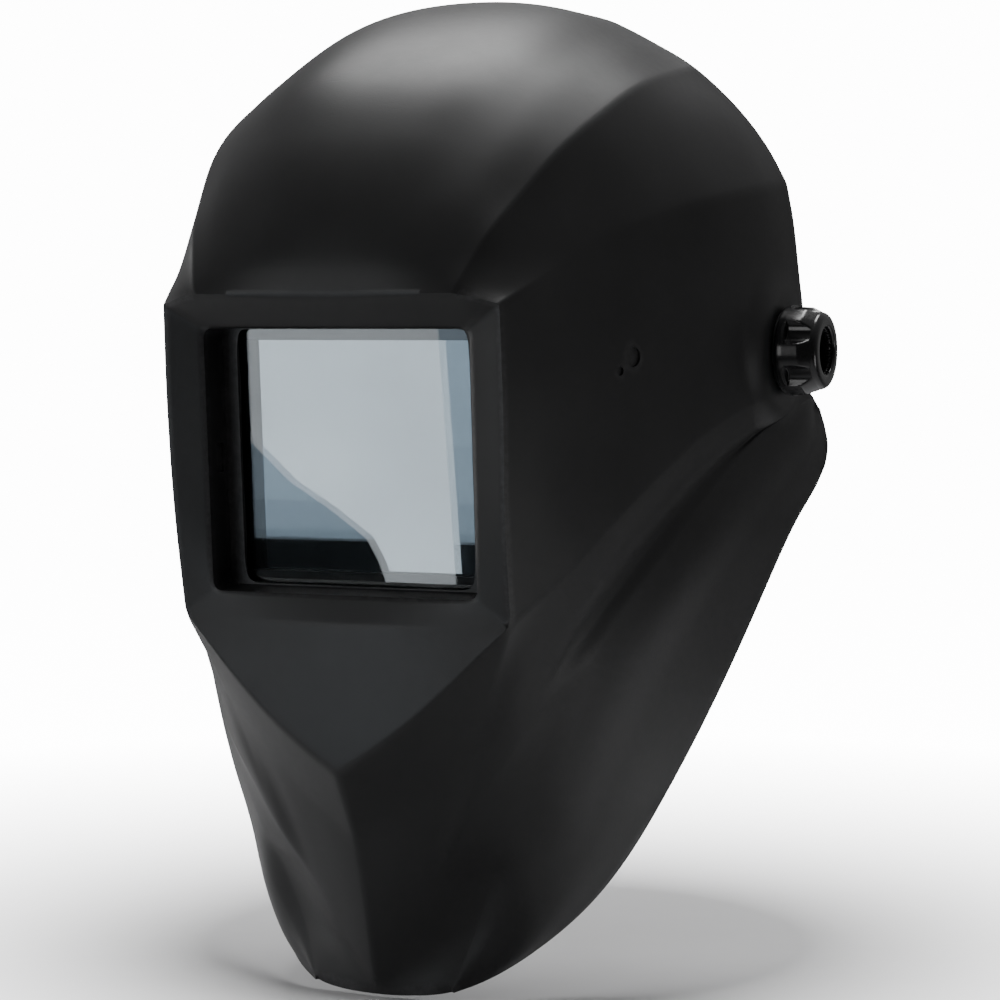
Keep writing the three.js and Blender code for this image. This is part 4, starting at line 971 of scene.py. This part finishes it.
@dataclass(frozen=True)
class Shell:
    """The moulded shell with its pivot holes, blind marks, tab slots and stop ribs."""

    size: ShellSize
    window: WindowSize

    MARKS = ((-85.0, -1.5, 3.3), (-91.0, -6.0, 1.5))
    MARK_DEPTH = 0.45
    SIDE_WALL = ((-96.0, 78.2), (-70.0, 87.4))
    SIDE_LEAN = -19.0
    BOLT_HOLE_ENDS = (90.0, 118.0)
    TAB_SLOT = ((44.5, 6.1, -4.9), (51.0, 9.9, 4.9))
    STOP_RIB = ((100.2, 12.4, -5.3), (103.0, 16.8, -2.3))

    @staticmethod
    def cylinder(name: str, radius: float, x0: float, x1: float) -> bpy.types.Object:
        """A closed cylinder along X, used as a cutter, in millimetres. Returns the object."""
        rings = [(x, np.full(CUTTER_TURNS, radius)) for x in (x0, x1)]
        cutter = add_piece(name, *turned_grid(rings, CUTTER_TURNS))
        tidy_mesh(cutter)
        return cutter

    def slot_cutter(self, side: Side) -> bpy.types.Object:
        """A box through the tunnel's side for the glass holder's tab. Returns the object."""
        corners, faces = box_form(*self.TAB_SLOT, side)
        cutter = add_piece("slot_cutter", self.window.points(corners), faces)
        tidy_mesh(cutter)
        return cutter

    def mark_cutter(self, side: Side, y: float, z: float, radius: float) -> bpy.types.Object:
        """A shallow cutter square to the side wall. Returns the object."""
        cutter = self.cylinder("mark_cutter", radius, -self.MARK_DEPTH, 6.0)
        (y0, x0), (y1, x1) = self.SIDE_WALL
        wall = x0 + (y - y0) * (x1 - x0) / (y1 - y0)
        turn = Matrix.Rotation(math.radians(self.SIDE_LEAN), 4, "Z")
        cutter.data.transform(Matrix.Translation(Vector((wall, y, z)) * MM) @ turn)
        if side is Side.RIGHT:
            cutter.data.transform(Matrix.Scale(-1, 4, (1, 0, 0)))
            cutter.data.flip_normals()
        return cutter

    def build(self) -> bpy.types.Object:
        """Build and dress the shell. Returns its main piece."""
        shell = ShellForm(self.size, self.window).build("shell_skin")
        wall = shell.modifiers.new("wall", "SOLIDIFY")
        wall.thickness = self.size.wall * MM
        wall.offset = -1.0
        wall.use_even_offset = True
        wall.thickness_clamp = 1.2
        bake_modifiers(shell)
        cutters = []
        for side in Side:
            ends = sorted(end * side.value for end in self.BOLT_HOLE_ENDS)
            cutters.append(self.cylinder("bolt_hole", self.size.bolt_hole, *ends))
            cutters += [self.mark_cutter(side, *mark) for mark in self.MARKS]
            cutters.append(self.slot_cutter(side))
        cut(shell, cutters)
        shell.data.set_sharp_from_angle(angle=math.radians(42))
        bevel_edges(shell, self.size.rim_round, angle=50.0, steps=3)
        SHELL_PLASTIC.dress(shell)
        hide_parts("shell")
        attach(shell, "shell")
        for side in Side:
            self.rib(side)
        LOG.info("shell: %d faces", len(shell.data.polygons))
        return shell

    def rib(self, side: Side) -> None:
        """Add the rib that rests against the angle stop on one side.

        Args:
            side: The wearer's side.
        """
        rib = add_piece(f"stop_rib_{side.label}", *box_form(*self.STOP_RIB, side))
        tidy_mesh(rib)
        round_edges(rib, 0.4)
        SHELL_PLASTIC.dress(rib)
        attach(rib, "shell")


# ---- Tension knobs ------------------------------------------------------------------------------


@dataclass(frozen=True)
class KnobSize:
    """A fluted tension knob; distances along X are from its inner face."""

    inner_face: float = 106.4
    length: float = 14.4
    radius: float = 15.6
    face_radius: float = 13.3
    bore_radius: float = 8.25
    bore_depth: float = 8.0
    pocket_radius: float = 5.4
    pocket_depth: float = 4.9
    foot_round: float = 0.8
    face_round: tuple[float, float] = (2.1, 2.4)
    bore_round: float = 0.9
    tooth: float = 0.22
    teeth: int = 24
    taper: float = 0.05
    flutes: int = 6
    flute_turn: float = 35.0
    flute_radius: float = 5.3
    flute_place: float = 18.1
    flute_start: float = 3.0
    blend: float = 0.22
    turns: int = 288


@dataclass(frozen=True)
class Knob:
    """One tension knob, turned from rings whose radius follows the flutes."""

    size: KnobSize
    side: Side

    def fluted(self, radius: float, depth: float) -> np.ndarray:
        """Radius at each angle once the flutes are cut.

        Args:
            radius: Radius of the plain body here.
            depth: Share of the flute's full depth, 0 to 1.

        Returns:
            One radius per angle.
        """
        size = self.size
        angles = full_turn(size.turns)
        pitch = 2 * math.pi / size.flutes
        off = (angles - math.radians(size.flute_turn) + pitch / 2) % pitch - pitch / 2
        reach = size.flute_place + (1 - depth) * (size.flute_radius + 0.5)
        inner = np.maximum(size.flute_radius**2 - (reach * np.sin(off))**2, 0.0)
        wall = np.where(inner > 0, reach * np.cos(off) - np.sqrt(inner), radius + 5.0)
        k = size.blend
        step = np.clip(0.5 + (wall - radius) / (2 * k), 0, 1)
        return wall + (radius - wall) * step - k * step * (1 - step)

    @staticmethod
    def quarter(steps: int) -> list[tuple[float, float]]:
        """What is left of a quarter round along each of its two sides, as shares, step by step."""
        return [(1 - math.cos(turn), 1 - math.sin(turn))
                for turn in np.linspace(0, 1, steps) * math.pi / 2]

    def rings(self) -> list[tuple[float, np.ndarray]]:
        """The knob's rings from the pocket round the outside to the bore's floor."""
        size = self.size
        x0, x1 = size.inner_face, size.inner_face + size.length
        plain = np.ones(size.turns)
        pocket, foot = plain * size.pocket_radius, size.foot_round
        rings = [(x0 + size.pocket_depth, pocket), (x0, pocket), (x0, plain * (size.radius - 0.9))]
        rings += [(x0 + foot * rise, plain * (size.radius - foot * fall))
                  for rise, fall in self.quarter(6)[1:]]
        for along in (1.6, 2.2, 2.7, 3.0, 3.1, 3.2, 3.3, 3.45, 3.7, 4.2, *np.arange(5.0, 7.5, 0.6),
                      7.6, 7.8, 8.0, 8.3, *np.arange(8.8, 11.7, 0.5), 11.7, 11.9, 12.05, 12.2):
            body = size.radius - max(0.0, along - 2.4) * size.taper
            body = min(body, size.face_radius + 0.15 + (12.1 - along) * 0.5)
            start = float(np.clip((along - size.flute_start) / 0.45, 0, 1))
            stop = float(np.clip((12.2 - along) / 0.3, 0, 1))
            rings.append((x0 + along, self.fluted(body, min(start, stop))))
        deep, wide = size.face_round
        rings += [(x1 - deep * fall, plain * (size.face_radius - wide * rise))
                  for rise, fall in self.quarter(9)]
        lip, bore = size.bore_round, size.bore_radius
        rings += [(x1 - lip * rise, plain * (bore + lip * fall)) for rise, fall in self.quarter(6)]
        teeth = size.tooth * np.cos(size.teeth * full_turn(size.turns)) - size.tooth
        rings.append((x1 - 1.8, plain * bore))
        rings += [(x1 - along, plain * bore + teeth)
                  for along in (2.0, 4.0, size.bore_depth - 0.3)]
        rings.append((x1 - size.bore_depth, plain * (bore - 0.6)))
        return rings

    def build(self) -> bpy.types.Object:
        """Build and dress the knob. Returns the object."""
        points, faces = turned_grid(self.rings(), self.size.turns)
        points[:, 0] *= self.side.value
        knob = add_piece(f"tension_knob_{self.side.label}", points, faces)
        tidy_mesh(knob)
        knob.data.set_sharp_from_angle(angle=math.radians(48))
        KNOB_PLASTIC.dress(knob)
        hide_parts(f"knob_{self.side.label}")
        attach(knob, f"knob_{self.side.label}")
        LOG.info("knob %s: %d faces", self.side.label, len(faces))
        return knob

    def flute_lips(self) -> bpy.types.Object:
        """Add the raised rims at the foot of the flutes. Returns the object."""
        size, loop, tube = self.size, 40, 8
        points, faces = [], []
        for i in range(size.flutes):
            centre = math.radians(size.flute_turn) + i * 2 * math.pi / size.flutes
            start = len(points)
            for a in full_turn(loop):
                place = 3.0 + 0.8 * math.cos(a)
                off = centre + 0.23 * math.sin(a)
                sideways = size.flute_place * math.sin(off - centre)
                inner = max(size.flute_radius**2 - sideways**2, 0)
                floor = size.flute_place * math.cos(off - centre) - math.sqrt(inner)
                sink = min(max((place - 3.0) / 0.45, 0.0), 1.0)
                reach = size.radius - 0.05 - (size.radius - floor) * sink * 0.9
                for b in full_turn(tube):
                    radius = reach + 0.24 * math.cos(b)
                    turn = off + 0.016 * math.sin(b) * math.sin(a)
                    x = size.inner_face + place + 0.24 * math.sin(b) * math.cos(a)
                    points.append((x * self.side.value, -radius * math.cos(turn),
                                   -radius * math.sin(turn)))
            last = start + (loop - 1) * tube
            faces += grid_faces(loop, tube, start, closed=True)
            faces += [[last + j, last + (j + 1) % tube, start + (j + 1) % tube, start + j]
                      for j in range(tube)]
        lips = add_piece(f"flute_lips_{self.side.label}", np.array(points), faces)
        tidy_mesh(lips)
        KNOB_PLASTIC.dress(lips)
        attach(lips, f"knob_{self.side.label}")
        return lips


# ---- Cloth-covered pads -------------------------------------------------------------------------


@dataclass(frozen=True)
class PadSize:
    """A foam pad sewn in cloth: how it is blown up and where it is sewn.

    Bend is the radius it is curved to, 0 for a flat pad. Channels are shares of its half length.
    """

    bend: float = 0.0
    channels: tuple[float, ...] = ()
    voxel: float = 1.5
    inset: float = 0.8
    pressure: float = 4.0
    frames: int = 20
    limit: float = 1.0
    fill: float = 0.75
    hem: float = 4.0
    seam_depth: float = 0.75
    seam_width: float = 0.9
    stitch_depth: float = 0.15
    stitch_rate: float = 2.2
    rim_share: float = 0.6


@dataclass(frozen=True)
class Pad:
    """A cloth-covered pad blown up from a smaller form of its frame piece, then sewn."""

    node: str
    body: str
    size: PadSize

    CLOTH = {"quality": 6, "mass": 0.12, "tension_stiffness": 14.0, "compression_stiffness": 6.0,
             "shear_stiffness": 5.0, "bending_stiffness": 0.35}

    def start_form(self) -> bpy.types.Object:
        """Copy the CAD solid, remesh it evenly and draw it in. Returns the object."""
        source = bpy.data.objects[self.node]
        mesh = source.data.copy()
        mesh.transform(source.matrix_world)
        piece = bpy.data.objects.new(f"{self.node}_cover", mesh)
        bpy.context.scene.collection.objects.link(piece)
        weld_points(piece)
        even = piece.modifiers.new("even", "REMESH")
        even.mode = "VOXEL"
        even.voxel_size = self.size.voxel * MM
        soft = piece.modifiers.new("soft", "SMOOTH")
        soft.iterations = 4
        self.shift(piece, -self.size.inset)
        return piece

    def shift(self, piece: bpy.types.Object, distance: float) -> None:
        """Move the cover along its normals, and apply its modifiers.

        Args:
            piece: Cover of the pad.
            distance: Outward move in millimetres.
        """
        move = piece.modifiers.new("shift", "DISPLACE")
        move.strength = distance * MM
        move.mid_level = 0.0
        bake_modifiers(piece)

    def inflate(self, piece: bpy.types.Object) -> None:
        """Blow the cover up with a short cloth simulation, then limit how far it moved.

        Args:
            piece: Start form; its mesh is changed.
        """
        before = vertex_table(piece.data)
        cloth = piece.modifiers.new("cloth", "CLOTH")
        settings = cloth.settings
        for name, value in self.CLOTH.items():
            setattr(settings, name, value)
        settings.use_pressure = True
        settings.uniform_pressure_force = self.size.pressure
        settings.effector_weights.gravity = 0.0
        cloth.point_cache.frame_start = 1
        cloth.point_cache.frame_end = self.size.frames
        scene = bpy.context.scene
        for number in range(1, self.size.frames + 1):
            scene.frame_set(number)
        bake_modifiers(piece)
        scene.frame_set(1)
        move = vertex_table(piece.data) - before
        length = np.linalg.norm(move, axis=1)
        most = self.size.limit * MM
        LOG.info("cloth %s: moved up to %.1f mm before the cap", self.node, length.max() / MM)
        move *= (most * np.tanh(length / most) / np.maximum(length, 1e-9))[:, None]
        move_points(piece.data, before + move)

    def sew(self, piece: bpy.types.Object) -> None:
        """Press the hem seam and the cross channels into both faces.

        Args:
            piece: Blown-up cover; its mesh is changed.
        """
        size = self.size
        points = vertex_table(piece.data) / MM
        normals = vertex_table(piece.data, "normal")
        if size.bend:
            along = size.bend * np.arctan2(points[:, 0], -points[:, 1])
        else:
            along = points[:, 0]
        up = points[:, 2] - (points[:, 2].max() + points[:, 2].min()) / 2
        edge = np.minimum(along.max() - np.abs(along), up.max() - np.abs(up))
        press = np.exp(-(((edge - size.hem) / size.seam_width) ** 2))
        inner = 1 / (1 + np.exp(-(edge - size.hem) * 2))
        for place in size.channels:
            gap = np.abs(along) - place * along.max()
            press = np.maximum(press, inner * np.exp(-((gap / size.seam_width) ** 2)))
        wave = np.cos((along + up) * size.stitch_rate)
        stitch = (1 - size.stitch_depth) + size.stitch_depth * wave
        steep = np.abs(normals[:, 2]) * (1 + size.rim_share) - size.rim_share
        flat = 1 - np.clip(steep, 0, 1)
        moved = points - normals * (size.seam_depth * press * stitch * flat)[:, None]
        move_points(piece.data, moved * MM)

    def build(self) -> bpy.types.Object:
        """Build, inflate, sew and dress the pad. Returns the object."""
        piece = self.start_form()
        self.inflate(piece)
        fine = piece.modifiers.new("fine", "SUBSURF")
        fine.levels = fine.render_levels = 1
        bake_modifiers(piece)
        self.sew(piece)
        piece.data.shade_smooth()
        PAD_CLOTH.dress(piece)
        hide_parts(self.node)
        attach(piece, self.body)
        LOG.info("pad %s: %d points", self.node, len(piece.data.vertices))
        return piece


# ---- CAD pieces that keep their own mesh --------------------------------------------------------


class Trim(Enum):
    """How the kept CAD pieces are dressed: finish and edge rounding in millimetres, 0 for flat."""

    FRAME = (FRAME_PLASTIC, 0.4)
    BAND = (BAND_PLASTIC, 0.35)
    KNOB = (KNOB_PLASTIC, 0.35)
    RUBBER = (SEAL_RUBBER, 0.15)
    STEEL = (PLATED_STEEL, 0.25)
    BRASS = (TURNED_BRASS, 0.2)
    CLEAR = (CLEAR_GLASS, 0.0)
    DARK = (DARK_GLASS, 0.0)


def both(*names: str) -> tuple[str, ...]:
    """The left and the right node of each paired piece."""
    return tuple(f"{name}_{side.label}" for name in names for side in Side)


@dataclass(frozen=True)
class KeptPieces:
    """CAD nodes that stay as they are, by finish."""

    groups: dict[Trim, tuple[str, ...]] = field(default_factory=lambda: {
        Trim.FRAME: ("lens_holder", "filter_seat", "retainer_frame"),
        Trim.BAND: ("front_headband", "crown_peg", "ratchet_housing", "ratchet_cover",
                    "ratchet_pinion",
                    *both("side_plate", "crown_stud", "crown_strap", "rear_strap")),
        Trim.KNOB: (*both("glass_clip", "pivot_block", "angle_stop"), "ratchet_knob"),
        Trim.RUBBER: ("glass_seal", *both("friction_washer")),
        Trim.STEEL: (*both("clip_screw", "pivot_bolt"),
                     *(f"{name}_{end}" for name in both("plate_rivet")
                       for end in ("front", "rear"))),
        Trim.BRASS: both("knob_insert"),
        Trim.CLEAR: ("cover_glass", "inner_plate"),
        Trim.DARK: ("filter_glass",),
    })

    def dress(self) -> None:
        """Give every kept piece its finish, and round its edges unless its trim's width is 0."""
        for trim, names in self.groups.items():
            finish, width = trim.value
            for name in names:
                piece = bpy.data.objects[name]
                finish.dress(piece)
                if width > 0:
                    round_edges(piece, width)
                else:
                    piece.data.shade_flat()
            LOG.info("dressed %s: %d pieces", trim.name.lower(), len(names))


# ---- Studio -------------------------------------------------------------------------------------


@dataclass(frozen=True)
class CameraSize:
    """Where the camera stands and how long its lens is."""

    place: Point = (0.4405, -0.9984, 0.0084)
    azimuth: float = 23.94
    elevation: float = 3.29
    lens: float = 108.74


@dataclass(frozen=True)
class LampSize:
    """One area lamp: place, the point it faces and size in metres, and its power in watts."""

    name: str
    place: Point
    target: Point
    width: float
    height: float
    power: float


@dataclass(frozen=True)
class Studio:
    """Camera, floor, world and lamps."""

    camera: CameraSize

    LAMPS = (
        LampSize("overhead", (-0.14, 0.34, 1.12), (0.0, -0.02, 0.08), 0.9, 0.75, 14.5),
        LampSize("left_side", (-1.1, -0.05, -0.1), (-0.05, -0.05, -0.14), 0.5, 0.6, 8.0),
        LampSize("front_soft", (-0.55, -1.4, 0.0), (0.0, -0.1, -0.03), 0.6, 0.6, 2.6),
        LampSize("right_low", (1.15, -0.1, -0.35), (0.08, -0.03, -0.1), 0.35, 0.35, 1.0),
    )
    BRIGHT_SIDE = (0.0, 0.5, 0.87)
    ROOM = (-0.2, 1.0, 0.045, 0.25)
    BACKDROP = 14.0
    FLOOR, FLOOR_REACH = -214.6, 700.0
    FAR_FLOOR, FAR_REACH = -217.0, 30000.0
    CARD_TOP = -45.0
    PALE = (0.87, 0.94, 1.0)
    BLUE = (0.66, 0.83, 1.0)
    DARK = (0.006, 0.008, 0.012)

    @staticmethod
    def hide(piece: bpy.types.Object, *rays: str) -> None:
        """Make a piece unseen by the given kinds of ray."""
        for ray in rays:
            setattr(piece, f"visible_{ray}", False)

    def floor(self) -> None:
        """Lay a pale floor under the chin that runs out into an even white sheet."""
        turns, low = full_turn(48), np.full(48, self.FLOOR)
        rows = [np.stack([r * np.cos(turns), r * np.sin(turns), low], axis=1)
                for r in np.linspace(0.0, self.FLOOR_REACH, 15)]
        piece = add_piece("floor", np.concatenate(rows), grid_faces(15, 48, closed=True))
        bench = NodeBench("floor_paper")
        fibre = bench.noise(60.0, 5.0)
        colour = bench.blend(fibre, (0.78, 0.78, 0.79), (0.82, 0.82, 0.83))
        away = bench.add("VectorMath", operation="LENGTH")
        bench.tree.links.new(bench.place, away.inputs[0])
        bench.set(Base_Color=colour, Roughness=bench.ramp(fibre, 0.3, 0.7, 0.8, 0.95),
                  Alpha=bench.ramp(away.outputs["Value"], 0.24, 0.6, 1.0, 0.0))
        bench.relief([(fibre, 0.05)])
        piece.data.materials.append(bench.material)
        far = (-self.FAR_REACH, self.FAR_REACH)
        corners = np.array([(x, y, self.FAR_FLOOR) for x in far for y in far])
        sheet = add_piece("far_floor", corners, [(0, 2, 3, 1)])
        glow = NodeBench("far_floor_white")
        tone = glow.blend(glow.noise(2.0, 3.0), (1.0, 1.0, 1.0), (0.97, 0.97, 0.98))
        glow.set(Base_Color=tone, Emission_Color=tone, Emission_Strength=self.BACKDROP)
        sheet.data.materials.append(glow.material)
        self.hide(sheet, "diffuse", "glossy", "transmission", "shadow")

    def lamps(self) -> None:
        """Hang the area lamps."""
        for size in self.LAMPS:
            data = bpy.data.lights.new(size.name, "AREA")
            data.shape = "RECTANGLE"
            data.size, data.size_y = size.width, size.height
            data.energy = size.power
            lamp = bpy.data.objects.new(size.name, data)
            lamp.location = size.place
            aim = Vector(size.target) - Vector(size.place)
            lamp.rotation_euler = aim.to_track_quat("-Z", "Y").to_euler()
            lamp.visible_camera = False
            bpy.context.scene.collection.objects.link(lamp)

    def reflector(self, name: str, outline: Sequence[tuple[float, float]], distance: float,
                  glow: float, colour: Point) -> None:
        """Stand a flat card before the window, seen only in reflections.

        Args:
            name: Name of the card.
            outline: Corners as X and Z in millimetres.
            distance: How far in front of the pivots it stands, in millimetres.
            glow: Light it gives off; 0 for a dark card.
            colour: Colour of the card.
        """
        points = np.array([(x, -distance, z) for x, z in outline])
        card = add_piece(name, points, [list(range(len(points)))])
        bench = NodeBench(name)
        cloud = bench.noise(9.0, 3.0)
        tone = bench.blend(bench.ramp(cloud, 0.3, 0.7), colour, shade(colour, 0.85))
        bench.set(Base_Color=tone, Roughness=0.9, Emission_Color=tone, Emission_Strength=glow)
        card.data.materials.append(bench.material)
        self.hide(card, "camera", "shadow", "diffuse")

    def reflectors(self) -> None:
        """Stand the cards that the window reflects: a pale sheet, a bluer one and a dark foot."""
        sweep = ((-243, -214), (-243, -205), (-243.6, -196.3), (-248, -183.1), (-254, -171.9),
                 (-273.7, -157.3), (-296.5, -142.8), (-322, -118), (-335, -80),
                 (-336, self.CARD_TOP))
        pale = ((-206, self.CARD_TOP), (-204, -214), *sweep)
        self.reflector("pale_sheet", pale, 620.0, 2.7, self.PALE)
        steps = ((-178.0, 0.25), (-173.0, 0.5), (-157.0, 0.8), (-127.0, 1.0))
        tops = (*(low for low, _ in steps[1:]), self.CARD_TOP)
        for number, ((low, glow), high) in enumerate(zip(steps, tops)):
            box = ((-350, low), (-140, low), (-140, high), (-350, high))
            self.reflector(f"blue_sheet_{number + 1}", box, 640.0, glow, self.BLUE)
        foot = ((-400, -214), (-100, -214), (-100, -178), (-400, -178))
        self.reflector("dark_foot", foot, 640.0, 0.0, self.DARK)

    def world(self) -> None:
        """Light everything from a pale room: bright overhead and behind, dim before the helmet."""
        world = bpy.data.worlds.new("room")
        world.use_nodes = True
        tree = world.node_tree
        back = tree.nodes["Background"]
        back.inputs["Color"].default_value = (1.0, 1.0, 1.0, 1.0)
        path = tree.nodes.new("ShaderNodeLightPath")
        place = tree.nodes.new("ShaderNodeTexCoord")
        lean = tree.nodes.new("ShaderNodeVectorMath")
        lean.operation = "DOT_PRODUCT"
        tree.links.new(place.outputs["Generated"], lean.inputs[0])
        lean.inputs[1].default_value = self.BRIGHT_SIDE
        spread = tree.nodes.new("ShaderNodeMapRange")
        spread.interpolation_type = "SMOOTHSTEP"
        tree.links.new(lean.outputs["Value"], spread.inputs["Value"])
        for name, value in zip(("From Min", "From Max", "To Min", "To Max"), self.ROOM):
            spread.inputs[name].default_value = value
        seen = tree.nodes.new("ShaderNodeMix")
        tree.links.new(path.outputs["Is Camera Ray"], seen.inputs[0])
        tree.links.new(spread.outputs["Result"], seen.inputs[2])
        seen.inputs[3].default_value = self.BACKDROP
        tree.links.new(seen.outputs[0], back.inputs["Strength"])
        bpy.context.scene.world = world

    def shoot(self) -> None:
        """Stand the camera and make it the scene's."""
        data = bpy.data.cameras.new("camera")
        data.lens = self.camera.lens
        data.sensor_width = 36.0
        data.clip_start = 0.01
        camera = bpy.data.objects.new("camera", data)
        azimuth, elevation = math.radians(self.camera.azimuth), math.radians(self.camera.elevation)
        back = Vector((math.sin(azimuth) * math.cos(elevation),
                       -math.cos(azimuth) * math.cos(elevation), math.sin(elevation)))
        camera.location = self.camera.place
        camera.rotation_euler = (-back).to_track_quat("-Z", "Y").to_euler()
        bpy.context.scene.collection.objects.link(camera)
        bpy.context.scene.camera = camera

    def build(self) -> None:
        """Set up everything the picture needs around the helmet."""
        self.floor()
        self.lamps()
        self.reflectors()
        self.world()
        self.shoot()
        LOG.info("studio: %d lamps", len(self.LAMPS))


def main() -> None:
    """Build the helmet from its sub-assemblies, then the studio."""
    logging.basicConfig(level=logging.INFO, format="%(name)s: %(message)s")
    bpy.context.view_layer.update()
    KeptPieces().dress()
    Shell(ShellSize(), WindowSize()).build()
    for side in Side:
        knob = Knob(KnobSize(), side)
        knob.build()
        knob.flute_lips()
    Pad("sweatband", "headgear", PadSize(bend=78.0, channels=(0.0, 0.34, 0.67))).build()
    Pad("rear_pad", "rear_unit", PadSize(channels=(0.36,))).build()
    Studio(CameraSize()).build()


if __name__ == "__main__":
    main()
